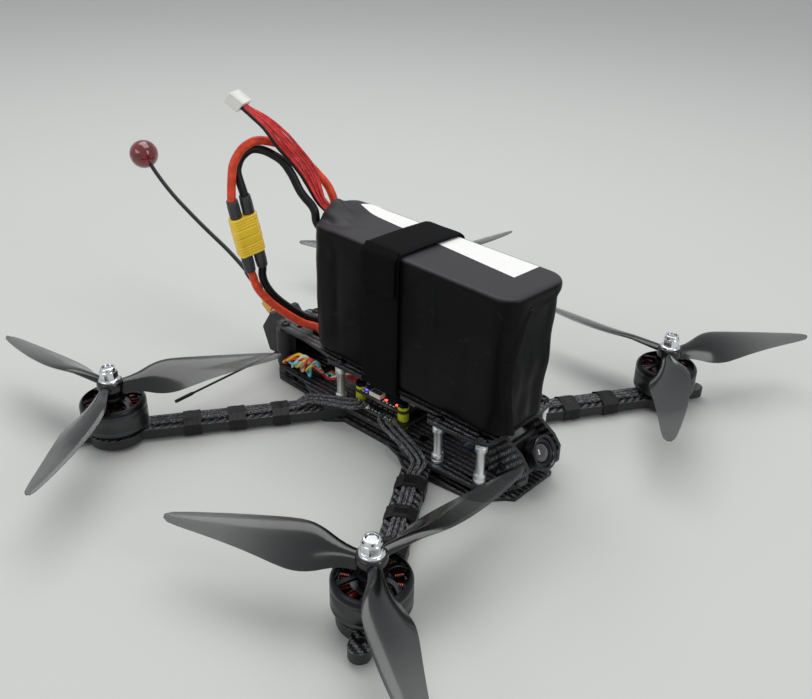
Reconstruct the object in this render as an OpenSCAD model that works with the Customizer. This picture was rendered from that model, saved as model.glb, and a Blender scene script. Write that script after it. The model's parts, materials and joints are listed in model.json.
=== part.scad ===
/* [Frame] */
// Distance from the middle of the frame to each motor axis, nose to tail
motor_x = 92.5; // [84:0.5:102]
// Distance from the middle of the frame to each motor axis, side to side
motor_y = 116.5; // [105:0.5:128]
// Width of an arm
arm_w = 14; // [11:0.5:16]
// Thickness of an arm
arm_t = 5.5; // [4:0.5:7]
// Length of an arm past its motor axis
arm_tip = 25; // [20:1:32]
// Width of the narrow tongue at an arm's tip
tongue_w = 9.5; // [6:0.5:12]
// Where the front arms' centre lines cross the root line
front_root_x = 33; // [31:0.5:37]
// Where the rear arms' centre lines cross the root line
rear_root_x = -28; // [-32:0.5:-27]
// Distance of the root line from the middle of the frame
root_y = 20; // [19:0.5:22]
// Thickness of the bottom plate
bottom_t = 2; // [1.6:0.1:3]
// Thickness of the middle plate
mid_t = 2; // [1.5:0.1:3]
// Thickness of the top plate
top_t = 2; // [1.5:0.1:3]
// Height of the bay between the middle and top plates
bay_h = 22; // [21:0.5:30]
// Front edge of the bottom plate
nose_x = 88; // [86:0.5:94]
// Rear edge of the three plates
tail_x = -88; // [-94:0.5:-86]

/* [Standoffs and screws] */
// Diameter of a standoff's collars
standoff_d = 6; // [5:0.1:7]
// Diameter of a standoff's waist
waist_d = 4.4; // [4:0.1:5]
// Diameter of the frame and stack screws
screw_d = 3; // [2.5:0.1:3.2]
// Depth of a screw in a standoff
screw_bite = 6; // [4:0.5:8]
// Spacing of the two spare holes in the top plate
spare_gap = 16; // [12:0.5:20]

/* [Camera] */
// Thickness of a camera side plate
cheek_t = 2; // [1.5:0.1:2.5]
// Distance between the outer faces of the camera side plates
cheek_span = 28; // [27:0.5:30]
// Place of the tilt screws, nose to tail
pivot_x = 78; // [77:0.5:80]
// Height of the tilt screws
pivot_z = 15.5; // [14.5:0.5:17]
// Tilt of the camera at rest
camera_tilt = 28; // [0:1:40]
// Height of the square camera case
case_h = 19; // [17:0.5:19.5]
// Width of the camera case
case_w = 20; // [18:0.5:21]
// Diameter of the lens front
lens_d = 17; // [14:0.5:18]

/* [Electronics] */
// Spacing of the four stack screws
stack_gap = 30.5; // [29:0.5:31]
// Width of the speed controller board
esc_w = 42; // [40:0.5:44]
// Length of the speed controller board
esc_l = 40; // [38:0.5:42]
// Side of the square flight controller board
fc_w = 37; // [36:0.5:39]
// Thickness of the circuit boards
board_t = 1.6; // [1:0.1:2]
// Diameter of the filter capacitor
capacitor_d = 10; // [8:0.5:12]
// Travel of the boot button
button_travel = 0.25; // [0.2:0.05:0.3]

/* [Motors] */
// Outer diameter of the rotating bell
bell_d = 33; // [31:0.5:36]
// Height of a motor from the arm to the top of the bell
motor_h = 20; // [18:0.5:24]
// Diameter of the motor shaft
shaft_d = 5; // [4:0.1:5]
// Diameter of the circle of mounting holes
motor_pcd = 19; // [16:0.5:19]
// Air gap between the stator and the magnets
air_gap = 0.35; // [0.3:0.05:0.5]
// Number of magnets in a bell
magnets = 14; // [12:2:14]
// Number of stator teeth
teeth = 12; // [9:3:12]

/* [Propellers] */
// Diameter of a propeller
prop_d = 177.8; // [170:0.2:180]
// Advance of a propeller in one turn
prop_pitch = 92; // [76:1:114]
// Widest chord of a blade
blade_chord = 22; // [17:0.5:24]
// Diameter of a propeller hub
hub_d = 13; // [12:0.5:15]
// Height of a propeller hub
hub_h = 8; // [6:0.5:9]
// Height of the flanged nut
nut_h = 7.5; // [6:0.5:9]

/* [Battery] */
// Length of the battery pack
pack_l = 134; // [120:1:140]
// Width of the battery pack
pack_w = 43; // [42:0.5:48]
// Height of the battery pack
pack_h = 70; // [65:1:74]
// Radius of the pack's upright corners, from its round cells
pack_r = 10.7; // [6:0.1:12]
// Place of the pack's middle, nose to tail
pack_x = 17; // [10:1:24]
// Turn of the pack on the frame
pack_yaw = -2.5; // [-4:0.5:4]
// Thickness of the rubber pad under the pack
pad_t = 2; // [1.5:0.1:4]
// Width of the strap
strap_w = 24; // [18:1:26]
// Thickness of the strap
strap_t = 1.7; // [1.2:0.1:2]
// Place of the strap's middle, nose to tail
strap_x = 6; // [0:1:12]

/* [Plug and leads] */
// Outer diameter of a power lead
lead_d = 4.4; // [4:0.1:5]
// Length of each half of the power plug
plug_l = 11; // [9:0.5:14]
// Width of the power plug
plug_w = 15; // [14.4:0.1:17]
// Thickness of the power plug
plug_t = 7.8; // [7.4:0.1:9]
// Width of the balance lead's flat bundle
balance_w = 10.8; // [9:0.2:13]
// Thickness of the balance lead's flat bundle
balance_t = 2.4; // [1.8:0.2:3]

/* [Antenna] */
// Diameter of the antenna's round cap
cap_d = 18; // [15:0.5:20]
// Diameter of the antenna's mast
mast_d = 2.6; // [2:0.1:3.4]
// Rise of the antenna connector above level
antenna_rise = 34; // [25:1:40]

/* [Hidden] */
$fn = 48;
eps = 0.01;
fit = 0.05;
slack = 0.3;

// Heights of the layers, from the face that the frame rests on
arm_z = bottom_t;
mid_z = arm_z + arm_t;
deck_z = mid_z + mid_t;
top_z = deck_z + bay_h;
roof_z = top_z + top_t;
pad_z = roof_z;
pack_z = pad_z + pad_t;

// Screws
screw_r = screw_d / 2;
hole_r = screw_r + fit;
head_r = screw_d;
head_h = 1.6;
flush = 0.1;
nut_r = screw_d * 1.05;
nut_t = 2.2;
insert_r = screw_r + 1.1;

// Standoff places on one side, from tail to nose
STANDOFFS = [[-80, 12], [-26, root_y], [48, 26], [73, 24.5]];
rear_post = STANDOFFS[0];
front_post = STANDOFFS[3];
SIDES = [1, -1];

// Arm directions, worked out from the root line to the motor
MOTORS = [[motor_x, -motor_y], [motor_x, motor_y], [-motor_x, -motor_y], [-motor_x, motor_y]];
arm_in = 8;
function root_x(i) = i < 2 ? front_root_x : rear_root_x;
function root_of(i) = [root_x(i), (i % 2 == 0 ? -1 : 1) * root_y];
function arm_dir(i) = (MOTORS[i] - root_of(i)) / norm(MOTORS[i] - root_of(i));
function arm_angle(i) = atan2(arm_dir(i)[1], arm_dir(i)[0]);
function arm_len(i) = norm(MOTORS[i] - root_of(i));
outer_bolt = 8;
inner_bolt = -5;
function arm_point(i, s) = root_of(i) + s * arm_dir(i);

// Stack of boards
stack_r = stack_gap / 2;
damper_d = 6;
damper_low = 2.5;
damper_high = 1.8;
esc_z = deck_z + damper_low;
fc_z = esc_z + board_t + damper_high + 3.2;
post_top = fc_z + board_t + damper_high + 2.2;

// Motor
base_h = 2.2;
bell_r = bell_d / 2;
bell_wall = 1;
magnet_t = 1.3;
stator_r = bell_r - bell_wall - magnet_t - air_gap;
shaft_r = shaft_d / 2;
bearing_r = shaft_r + 2;
tube_r = bearing_r + 1;
stator_z = base_h + 2.4;
stator_h = 9;
bell_z = base_h + 1;
motor_z = mid_z;
bell_top = motor_z + motor_h;
hub_mid = bell_top + hub_h / 2;
shaft_top = bell_top + hub_h + nut_h - 0.8;
ROTOR_NAMES = ["front_right", "front_left", "rear_right", "rear_left"];
// Blade headings at rest, and the way each propeller turns
BLADE_AT = [206, 58.5, 187, 83];
SPIN = [-1, 1, 1, -1];

// Battery
pack_top = pack_z + pack_h;
strap_gap = 0.3;

// Power plug, as it hangs between the leads
pack_end = pack_x - pack_l / 2;
plug_at = [pack_end - 28.4, -35.6, 95.3];
plug_lean = 12;
plug_turn = 77;
wire_gap = 7.2;
cup_l = 4;
sleeve_l = 10;
lead_r = lead_d / 2;
cup_r = lead_r + 0.4;
sleeve_r = cup_r + 0.6;
// A point on the plug, across its width and along its axis
function plug_point(across, along) = plug_at + along * [0, -sin(plug_lean), cos(plug_lean)]
  + across * [cos(plug_turn), sin(plug_turn) * cos(plug_lean), sin(plug_turn) * sin(plug_lean)];

// Routes of the power leads, from the pack or the frame to the plug, with x counted from the pack's rear end
function behind(route) = [for (p = route) [pack_end + p[0], p[1], p[2]]];
RED_ROUTE = behind([
  [-0.4, 3.6, 103], [-2.6, 3.6, 103.2], [-4.9, 4.2, 105.3], [-6, 5.2, 109.3], [-9, 3.9, 116.6],
  [-13.5, 1.2, 122.6], [-17.6, -3.8, 129.9], [-19.8, -9.1, 135.3], [-22, -15, 139.2],
  [-24, -21, 141.8], [-26.2, -28.1, 143.1], [-28.2, -34.9, 140.3], [-29.4, -39.6, 134.5],
  [-29.6, -41.6, 128.7]
]);
BLACK_ROUTE = behind([
  [-0.7, -9, 99.4], [-2.6, -9, 99.7], [-4.3, -9.2, 102], [-5, -9.3, 106.7], [-7, -9.9, 110.1],
  [-9, -11.7, 113.4], [-11.3, -13.7, 117.9], [-15, -15.2, 125.4], [-18.6, -17.7, 131.8],
  [-23.4, -20.7, 135.4], [-26.9, -24.5, 137.7], [-29.3, -29.2, 138.3], [-31, -33.5, 135.5],
  [-31.6, -35.9, 131.6], [-31, -37.2, 126.9]
]);
FRAME_RED = concat(behind([
  [-29.8, -33, 70.7], [-28.6, -31.1, 62.8], [-25.3, -26.5, 54.8], [-21, -19.6, 46.9],
  [-15.5, -11.6, 39.6]
]), [
  [-60, -5.5, 36.4], [-54.5, -4.5, 31.5], [-48, -5, 24], [-38, -6, 17.5], [-28, -6, 16.2],
  [-20.2, -6, 16.2]
]);
FRAME_BLACK = concat(behind([
  [-28.8, -27.2, 69.2], [-28.6, -25.4, 62.8], [-26.6, -21.2, 55.2], [-23, -14.3, 47.3],
  [-18.4, -6.5, 40.3]
]), [
  [-60.5, 1.5, 36.9], [-54.5, 2, 31.5], [-48, 4, 24], [-38, 5, 17.5], [-28, 5, 16.2], [-20.2, 5, 16.2]
]);
// Route of the balance lead's flat bundle
BALANCE_ROUTE = behind([
  [-0.4, -2.6, 107.6], [-2.1, -2.8, 108], [-3.8, -3.6, 109.6], [-5.2, -4.9, 112.2], [-7, -6, 117],
  [-9.2, -7.3, 123], [-11.2, -9.6, 128.9], [-13.8, -14.2, 136.1], [-16.4, -19.1, 143],
  [-20.6, -25.5, 152.2], [-26.5, -30.5, 158.2], [-28.8, -31.9, 160.3]
]);
// Turn of the flat bundle and share of its width at each point of its route, and the plug's turn at its end
BALANCE_TURNS = [0, 0, 0, 0, 0, 0, 0, 5, 20, 48, 65, 68];
BALANCE_SHARES = [0.4, 0.4, 0.42, 0.45, 0.62, 0.82, 0.9, 0.9, 1, 0.95, 0.9, 0.9];
balance_plug_turn = [51.6, -6, -53.6];

// Camera
cheek_y = cheek_span / 2;
cheek_in = cheek_y - cheek_t;
tilt_screw_r = 1;

// ---- Helpers ----

function unit(v) = v / norm(v);
function spline(a, b, c, d, t) =
  0.5 * (2 * b + (c - a) * t + (2 * a - 5 * b + 4 * c - d) * t * t + (3 * b - a - 3 * c + d) * t * t * t);
function at(p, i) = p[max(0, min(len(p) - 1, i))];
function smooth(p, n) = [
  for (i = [0 : len(p) - 2]) for (k = [0 : n - 1]) spline(at(p, i - 1), p[i], p[i + 1], at(p, i + 2), k / n),
  p[len(p) - 1]
];
function heading(q, i) = unit(at(q, i + 1) - at(q, i - 1));
function carry(v, t) = unit(v - (v * t) * t);
function normals(q, v, i = 0) =
  i == len(q) ? [] : let (n = carry(v, heading(q, i))) concat([n], normals(q, n, i + 1));

// A closed tube along points q, with a section of half sizes a and b; lists may turn it and change its width
module tube(q, a, b, sides, start, turns = [], shares = []) {
  n = normals(q, start);
  points = [
    for (i = [0 : len(q) - 1]) let (
      f = len(turns) > i ? turns[i] : 0, m = len(shares) > i ? a * shares[i] : a, c = cross(heading(q, i), n[i]),
      wide = n[i] * cos(f) + c * sin(f), flat = c * cos(f) - n[i] * sin(f)
    ) for (k = [0 : sides - 1]) q[i] + m * cos(360 * k / sides) * wide + b * sin(360 * k / sides) * flat
  ];
  last = (len(q) - 1) * sides;
  faces = concat(
    [[for (k = [0 : sides - 1]) k]],
    [[for (k = [0 : sides - 1]) last + sides - 1 - k]],
    [for (i = [0 : len(q) - 2]) for (k = [0 : sides - 1]) let (m = (k + 1) % sides, s = i * sides)
      [s + k, s + sides + k, s + m]],
    [for (i = [0 : len(q) - 2]) for (k = [0 : sides - 1]) let (m = (k + 1) % sides, s = i * sides)
      [s + m, s + sides + k, s + sides + m]]
  );
  polyhedron(points, faces);
}

module rounded(l, w, r) {
  square([l - 2 * r, w], center = true);
  square([l, w - 2 * r], center = true);
  for (x = SIDES, y = SIDES) translate([x * (l / 2 - r), y * (w / 2 - r)]) circle(r);
}

module block(l, w, h, r) {
  linear_extrude(h) rounded(l, w, r);
}

module at_points(points) {
  for (p = points) translate([p[0], p[1], 0]) children();
}

module both_sides(points) {
  for (p = points, s = SIDES) translate([p[0], s * p[1], 0]) children();
}

module at_stack() {
  for (x = SIDES, y = SIDES) translate([x * stack_r, y * stack_r, 0]) children();
}

module bar(a, b, r) {
  d = b - a;
  translate(a) rotate([0, acos(d[2] / norm(d)), atan2(d[1], d[0])]) cylinder(r = r, h = norm(d));
}

// ---- Frame plates and arms ----

module outline(points) {
  polygon(concat(points, [for (i = [len(points) - 1 : -1 : 0]) [points[i][0], -points[i][1]]]));
}

front_y = front_post[1];
module lower_outline() {
  outline([
    [tail_x, 12], [rear_post[0], 18], [-58, 19], [-46, 25], [-40, 31], [-28, 31], [-20, 24], [12, 24],
    [22, 27], [30, 32], [46, 32], [front_post[0] - 2, front_y + 5], [front_post[0] + 4, front_y + 2],
    [nose_x - 4, cheek_y + 4], [nose_x, cheek_y + 1]
  ]);
}

module top_outline() {
  outline([
    [tail_x + 2, 11], [rear_post[0], 16], [-60, 16], [-38, 19], [-32, 23.5], [-20, 23.5], [38, 22.5],
    [44, 30], [54, 30], [front_post[0] - 7, front_y + 4], [front_post[0] - 2, front_y + 4],
    [front_post[0] + 4, front_y + 2], [front_post[0] + 5.5, 16]
  ]);
}

module arm_bolt_places() {
  for (i = [0 : 3]) {
    outer = arm_point(i, outer_bolt);
    translate([outer[0], outer[1], 0]) children();
    inner = arm_point(i, inner_bolt);
    if (i < 2) translate([inner[0], inner[1], 0]) children();
  }
}

module plate_holes(t, bolt_r) {
  translate([0, 0, -1]) {
    both_sides(STANDOFFS) cylinder(r = hole_r, h = t + 2);
    arm_bolt_places() cylinder(r = bolt_r, h = t + 2);
    at_stack() cylinder(r = hole_r, h = t + 2);
  }
}

module countersink() {
  translate([0, 0, -eps]) cylinder(r1 = head_r + fit + flush, r2 = hole_r, h = head_h + flush + fit);
}

cheek_x0 = 70;
tab_x = 71.5;
tab_l = 5;
module bottom_plate() color("#1b1c1e") difference() {
  linear_extrude(bottom_t) lower_outline();
  plate_holes(bottom_t, hole_r);
  both_sides(STANDOFFS) countersink();
  arm_bolt_places() countersink();
  at_stack() countersink();
  for (s = SIDES) translate([tab_x - fit, s * (cheek_y - cheek_t / 2) - cheek_t / 2 - fit, bottom_t - 1.6])
    cube([tab_l + 2 * fit, cheek_t + 2 * fit, 3]);
  for (x = [-62, 46]) translate([x, 0, -1]) block(20, 14, bottom_t + 2, 5);
}

module mid_plate() color("#202124") translate([0, 0, mid_z]) difference() {
  linear_extrude(mid_t) lower_outline();
  plate_holes(mid_t, insert_r + fit);
  translate([cheek_x0 - 2, -cheek_y - slack, -1]) cube([40, 2 * (cheek_y + slack), mid_t + 2]);
  translate([-46, 0, -1]) block(10, 16, mid_t + 2, 3);
}

cable_slot_x = -57;
strap_seat = pack_w / 2 - 1.3;
spare_x = -72;
module top_plate() color("#232427") translate([0, 0, top_z]) difference() {
  linear_extrude(top_t) top_outline();
  translate([0, 0, -1]) {
    both_sides(STANDOFFS) cylinder(r = hole_r, h = top_t + 2);
    translate([cable_slot_x, -1.5, 0]) block(13, 15, top_t + 2, 4);
    for (x = [-24, 0, 24, 46]) translate([x, 0, 0]) block(12, 20, top_t + 2, 4);
    for (s = SIDES) translate([strap_x - strap_w / 2 - 1.5, s > 0 ? strap_seat : -strap_seat - 10, 0])
      cube([strap_w + 3, 10, top_t + 2]);
    for (s = SIDES) translate([spare_x, s * spare_gap / 2, 0]) cylinder(r = hole_r, h = top_t + 2);
    for (s = SIDES) translate([tab_x - fit, s * (cheek_y - cheek_t / 2) - cheek_t / 2 - fit, 0])
      cube([tab_l + 2 * fit, cheek_t + 2 * fit, 1.6 + 1]);
  }
}

module motor_holes(r, h) {
  for (k = [0 : 3]) rotate(45 + 90 * k) translate([motor_pcd / 2, 0, 0]) cylinder(r = r, h = h);
}

seat_r = 14.5;
module arm(i) color("#1d1e20") translate([root_of(i)[0], root_of(i)[1], arm_z]) rotate(arm_angle(i)) {
  reach = arm_len(i);
  difference() {
    linear_extrude(arm_t) {
      translate([-arm_in, -arm_w / 2]) square([arm_in + reach, arm_w]);
      translate([reach, 0]) circle(seat_r);
      translate([reach, -tongue_w / 2]) square([arm_tip - tongue_w / 2, tongue_w]);
      translate([reach + arm_tip - tongue_w / 2, 0]) circle(tongue_w / 2);
    }
    translate([0, 0, -1]) {
      translate([outer_bolt, 0, 0]) cylinder(r = hole_r, h = arm_t + 2);
      if (i < 2) translate([inner_bolt, 0, 0]) cylinder(r = hole_r, h = arm_t + 2);
      translate([reach, 0, 0]) cylinder(r = shaft_r + 1, h = arm_t + 2);
      translate([reach, 0, 0]) motor_holes(hole_r, arm_t + 2);
      translate([reach + seat_r + 3, 0, 0]) cylinder(r = 1.6, h = arm_t + 2);
    }
    if (i > 1) {
      post = [STANDOFFS[1][0], (i % 2 == 0 ? -1 : 1) * STANDOFFS[1][1]] - root_of(i);
      translate([0, 0, -1]) rotate(-arm_angle(i)) translate([post[0], post[1], 0])
        cylinder(r = hole_r, h = arm_t + 2);
    }
  }
}
module arm_front_right() { arm(0); }
module arm_front_left() { arm(1); }
module arm_rear_right() { arm(2); }
module arm_rear_left() { arm(3); }

collar_h = 5;
module standoffs() color("silver") translate([0, 0, deck_z]) both_sides(STANDOFFS) difference() {
  union() {
    cylinder(d = waist_d, h = bay_h);
    cylinder(d = standoff_d, h = collar_h);
    translate([0, 0, bay_h - collar_h]) cylinder(d = standoff_d, h = collar_h);
  }
  for (z = [-1, bay_h - screw_bite - 1]) translate([0, 0, z]) cylinder(r = hole_r, h = screw_bite + 2);
}

// A flush screw whose head lies in the bottom plate
module flush_screw(top) {
  translate([0, 0, flush]) cylinder(r1 = head_r, r2 = screw_r, h = head_h);
  translate([0, 0, flush]) cylinder(r = screw_r, h = top - flush);
}

module hex_nut(r, t, bore) {
  difference() {
    cylinder(r = r, h = t, $fn = 6);
    translate([0, 0, -1]) cylinder(r = bore, h = t + 2, $fn = 48);
  }
}

module frame_screws() color("#2a2a2c") {
  both_sides(STANDOFFS) flush_screw(deck_z + screw_bite);
  arm_bolt_places() {
    flush_screw(deck_z - flush);
    translate([0, 0, mid_z]) difference() {
      cylinder(r = insert_r, h = mid_t);
      translate([0, 0, -1]) cylinder(r = hole_r, h = mid_t + 2);
    }
  }
}

button_head_r = screw_d * 0.95;
button_head_h = 1.7;
module top_screws() color("#2a2a2c") translate([0, 0, roof_z]) both_sides(STANDOFFS) {
  difference() {
    rotate_extrude() intersection() {
      translate([0, button_head_h - 3.6]) circle(3.6);
      square([button_head_r, button_head_h]);
    }
    translate([0, 0, button_head_h - 1]) cylinder(r = 1, h = 2, $fn = 6);
  }
  translate([0, 0, eps - top_t - screw_bite]) cylinder(r = screw_r, h = top_t + screw_bite);
}

thread_bite = 2.4;
module at_motor_screws() {
  for (i = [0 : 3], k = [0 : 3]) translate([MOTORS[i][0], MOTORS[i][1], 0])
    rotate(arm_angle(i) + 45 + 90 * k) translate([motor_pcd / 2, 0, 0]) children();
}

module motor_screws() color("#2a2a2c") at_motor_screws() {
  translate([0, 0, arm_z - 1.3]) difference() {
    cylinder(r = screw_r + 1.3, h = 1.3);
    translate([0, 0, -1]) cylinder(r = 1, h = 1.8, $fn = 6);
  }
  translate([0, 0, arm_z - eps]) cylinder(r = screw_r, h = arm_t + thread_bite);
}

// ---- Camera ----

module cheek(s) color("#232427") difference() {
  translate([0, s * (cheek_y - cheek_t / 2) + cheek_t / 2, 0]) rotate([90, 0, 0]) linear_extrude(cheek_t) {
    polygon([
      [cheek_x0, bottom_t], [nose_x - 4, bottom_t], [nose_x - 1, bottom_t + 4], [nose_x + 4, pivot_z - 4],
      [nose_x + 4, pivot_z + 5], [nose_x, top_z - 6], [front_post[0] + 5.5, top_z], [cheek_x0, top_z]
    ]);
    translate([tab_x, bottom_t - 1.5]) square([tab_l, 3]);
    translate([tab_x, top_z - 1.5]) square([tab_l, 3]);
  }
  at_tilt_screw(s) {
    cylinder(r = tilt_screw_r + fit, h = cheek_span, center = true);
  }
}
module camera_plate_right() { cheek(-1); }
module camera_plate_left() { cheek(1); }

module at_tilt_screw(s) {
  translate([pivot_x, s * cheek_y, pivot_z]) rotate([-90 * s, 0, 0]) children();
}

module camera_frame() {
  translate([pivot_x, 0, pivot_z]) rotate([0, -camera_tilt, 0]) children();
}

case_back = -8.5;
case_front = 6.5;
boss_r = 3;
module camera_case() color("#111214") camera_frame() difference() {
  union() {
    rotate([90, 0, 0]) translate([0, 0, -case_w / 2]) linear_extrude(case_w)
      translate([(case_back + case_front) / 2, 0]) rounded(case_front - case_back, case_h, 2.5);
    rotate([90, 0, 0]) cylinder(r = boss_r, h = 2 * (cheek_in - fit), center = true);
  }
  rotate([90, 0, 0]) for (s = SIDES) translate([0, 0, s * case_w / 2])
    cylinder(r = tilt_screw_r + fit, h = 8, center = true);
  translate([case_front - 2, 0, 0]) rotate([0, 90, 0]) cylinder(r = barrel_r + fit, h = 4);
}

barrel_r = 6;
lens_r = lens_d / 2;
lens_tip = 16.5;
module camera_lens() color("#0b0b0d") camera_frame() rotate([0, 90, 0]) {
  rotate_extrude() polygon([
    [0, case_front - 2], [barrel_r, case_front - 2], [barrel_r, 9], [lens_r, 11], [lens_r, lens_tip - 1],
    [lens_r - 0.8, lens_tip], [lens_r - 2, lens_tip], [lens_r - 2.4, lens_tip - 2.2], [0, lens_tip - 2.2]
  ]);
  translate([0, 0, lens_tip - 2.2]) intersection() {
    translate([0, 0, -8]) sphere(r = 10.4);
    cylinder(r = lens_r - 2.5, h = 4);
  }
}

module camera_screws() color("#3a3a3d") for (s = SIDES) at_tilt_screw(s) {
  translate([0, 0, fit]) difference() {
    cylinder(r = 1.9, h = 1.3);
    translate([0, 0, 0.6]) cylinder(r = 0.8, h = 2, $fn = 6);
  }
  translate([0, 0, case_w / 2 - cheek_y - 2])
    cylinder(r = tilt_screw_r, h = cheek_y - case_w / 2 + 2 + fit + eps);
}

// ---- Stack of boards ----

board_hole_r = 2;
module board(l, w, r) {
  difference() {
    block(l, w, board_t, r);
    translate([0, 0, -1]) at_stack() cylinder(r = board_hole_r, h = board_t + 2);
  }
}

module esc_board() color("#16181a") translate([0, 0, esc_z]) board(esc_l, esc_w, 2);

pad_step = 3.4;
pad_x = 9.8;
pad_y = esc_w / 2 - 1.3;
solder_t = 0.6;
pad_top = esc_z + board_t + solder_t;
module esc_parts() color("#8e9094") translate([0, 0, esc_z + board_t]) {
  for (s = SIDES) {
    for (k = [-2.5 : 2.5]) translate([k * 3.9 - 1.6, s * 13.2 - 1.6, 0]) cube([3.2, 3.2, 0.9]);
    for (k = [-2.5 : 2.5]) translate([k * 3.9 - 1.6, s * 9.2 - 1.6, 0]) cube([3.2, 3.2, 0.9]);
    for (x = SIDES, k = [-1 : 1]) translate([x * pad_x + k * pad_step - 1.2, s * pad_y - 1, 0])
      cube([2.4, 2, solder_t]);
  }
  translate([-2.5, -2.5, 0]) cube([5, 5, 0.9]);
  for (y = [-6, 5]) translate([-esc_l / 2 + 0.4, y - 2.6, 0]) cube([3.2, 5.2, 0.35]);
  translate([10, -3.6, 0]) cube([6, 7.2, 1.2]);
}

module flight_controller() color("#15171c") translate([0, 0, fc_z]) board(fc_w, fc_w, 3);

chip_z = fc_z + board_t;
button_at = [6, 13];
// The sockets end clear of the corner dampers
socket_end = stack_r - damper_d / 2 - slack;
module controller_parts() color("#2c2d30") translate([0, 0, chip_z]) {
  translate([-5, -5, 0]) cube([10, 10, 1]);
  translate([7, -3, 0]) cube([3, 3, 0.9]);
  translate([-12, 3, 0]) cube([5, 4, 0.8]);
  translate([-fc_w / 2 + 0.5, -socket_end, 0]) cube([4.2, socket_end - 3.2, 2.6]);
  translate([-fc_w / 2 + 0.5, 6.5, 0]) cube([4.2, socket_end - 6.5, 2.6]);
  translate([fc_w / 2 - 4.7, -10.5, 0]) cube([4.2, 8, 2.6]);
  translate([-7, -fc_w / 2 + 0.5, 0]) cube([8, 4.2, 2.6]);
  translate([-4.5, fc_w / 2 - 6.8, 0]) difference() {
    cube([9, 7.2, 3.2]);
    translate([0.5, 1.5, 0.5]) cube([8, 8, 2.2]);
  }
  for (p = [[11, -15.5], [-11, -15.5], [3.5, -15.8]]) translate([p[0] - 0.8, p[1] - 0.5, 0])
    cube([1.6, 1, 0.7]);
  translate([button_at[0] - 1.6, button_at[1] - 1.6, 0]) difference() {
    cube([3.2, 3.2, 1.5]);
    translate([1.6, 1.6, 0.4]) cylinder(r = button_r + fit, h = 2);
  }
}

button_r = 0.8;
module boot_button() color("#d8d8d2")
  translate([button_at[0], button_at[1], chip_z + 0.4 + button_travel + fit]) cylinder(r = button_r, h = 1.7);

module damper(low) {
  rotate_extrude() polygon([
    [hole_r, 0], [damper_d / 2, 0], [damper_d / 2, low], [board_hole_r - fit, low],
    [board_hole_r - fit, low + board_t], [damper_d / 2, low + board_t],
    [damper_d / 2, low + board_t + damper_high], [hole_r, low + board_t + damper_high]
  ]);
}

fc_damper_low = fc_z - esc_z - board_t - damper_high;
module stack_dampers() color("#c6d42c") at_stack() {
  translate([0, 0, deck_z]) damper(damper_low);
  translate([0, 0, fc_z - fc_damper_low + fit]) damper(fc_damper_low - fit);
}

module stack_screws() color("#2a2a2c") at_stack() {
  flush_screw(post_top);
  translate([0, 0, chip_z + damper_high]) hex_nut(nut_r, nut_t, hole_r);
}

// ---- Other electronics in the bay ----

capacitor_l = 17;
capacitor_x = 34;
module filter_capacitor() color("#27303c") translate([capacitor_x, 0, deck_z + capacitor_d / 2 + fit]) {
  rotate([90, 0, 0]) rotate_extrude() polygon([
    [0, -capacitor_l / 2], [capacitor_d / 2 - 0.5, -capacitor_l / 2],
    [capacitor_d / 2, 0.5 - capacitor_l / 2],
    [capacitor_d / 2, capacitor_l / 2 - 2.6], [capacitor_d / 2 - 0.5, capacitor_l / 2 - 2.1],
    [capacitor_d / 2, capacitor_l / 2 - 1.6], [capacitor_d / 2, capacitor_l / 2 - 0.5],
    [capacitor_d / 2 - 0.5, capacitor_l / 2], [0, capacitor_l / 2]
  ]);
}

receiver_x = 54;
module receiver() color("#1f2b3a") translate([receiver_x, 0, deck_z]) {
  block(12, 19, 1, 0.8);
  translate([-3, -2, 1]) cube([6, 6, 0.9]);
  translate([-2, -7.5, 1]) cube([3, 3, 1.3]);
}

whip_from = [-89, -6, 12.4];
whip_to = [-85.5, -85, 11.6];
whip_r = 0.65;
module receiver_antenna() color("#141414") {
  bar(whip_from, whip_to, whip_r);
  bar(whip_to + 12 * unit(whip_from - whip_to), whip_to, whip_r + 0.35);
}

vtx_x = -62;
vtx_l = 24;
vtx_w = 26;
vtx_h = 6.5;
module video_transmitter() color("#3b3d42") translate([vtx_x, 0, deck_z]) {
  block(vtx_l, vtx_w, vtx_h - 2, 1.5);
  for (k = [-4 : 4]) translate([-vtx_l / 2 + 1, k * 2.8 - 0.6, vtx_h - 2 - eps]) cube([vtx_l - 2, 1.2, 2]);
}

wires = 5;
wire_r = 0.6;
module signal_wires() color("#c8382a") for (k = [0 : wires - 1]) {
  y = -9.2 - 1.7 * k;
  sag = 1.1 * (k % 3);
  start = [vtx_x + vtx_l / 2 + 0.1, y + 4.4, deck_z + 2.5];
  end = [-fc_w / 2 + 0.4, y + 5.2, chip_z + 1.4];
  tube(smooth([
    start, start + [1.6, 0, 0], [-44, y + 1.6, deck_z + 3.5 + sag], [-36, y - 0.2, chip_z - 2 - sag],
    [-27, y + 2.4, chip_z + 2.2 - sag], end - [2, 0, 0], end
  ], 3), wire_r, wire_r, 8, [0, 0, 1]);
}

// ---- Motor leads along the arms ----

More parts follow.
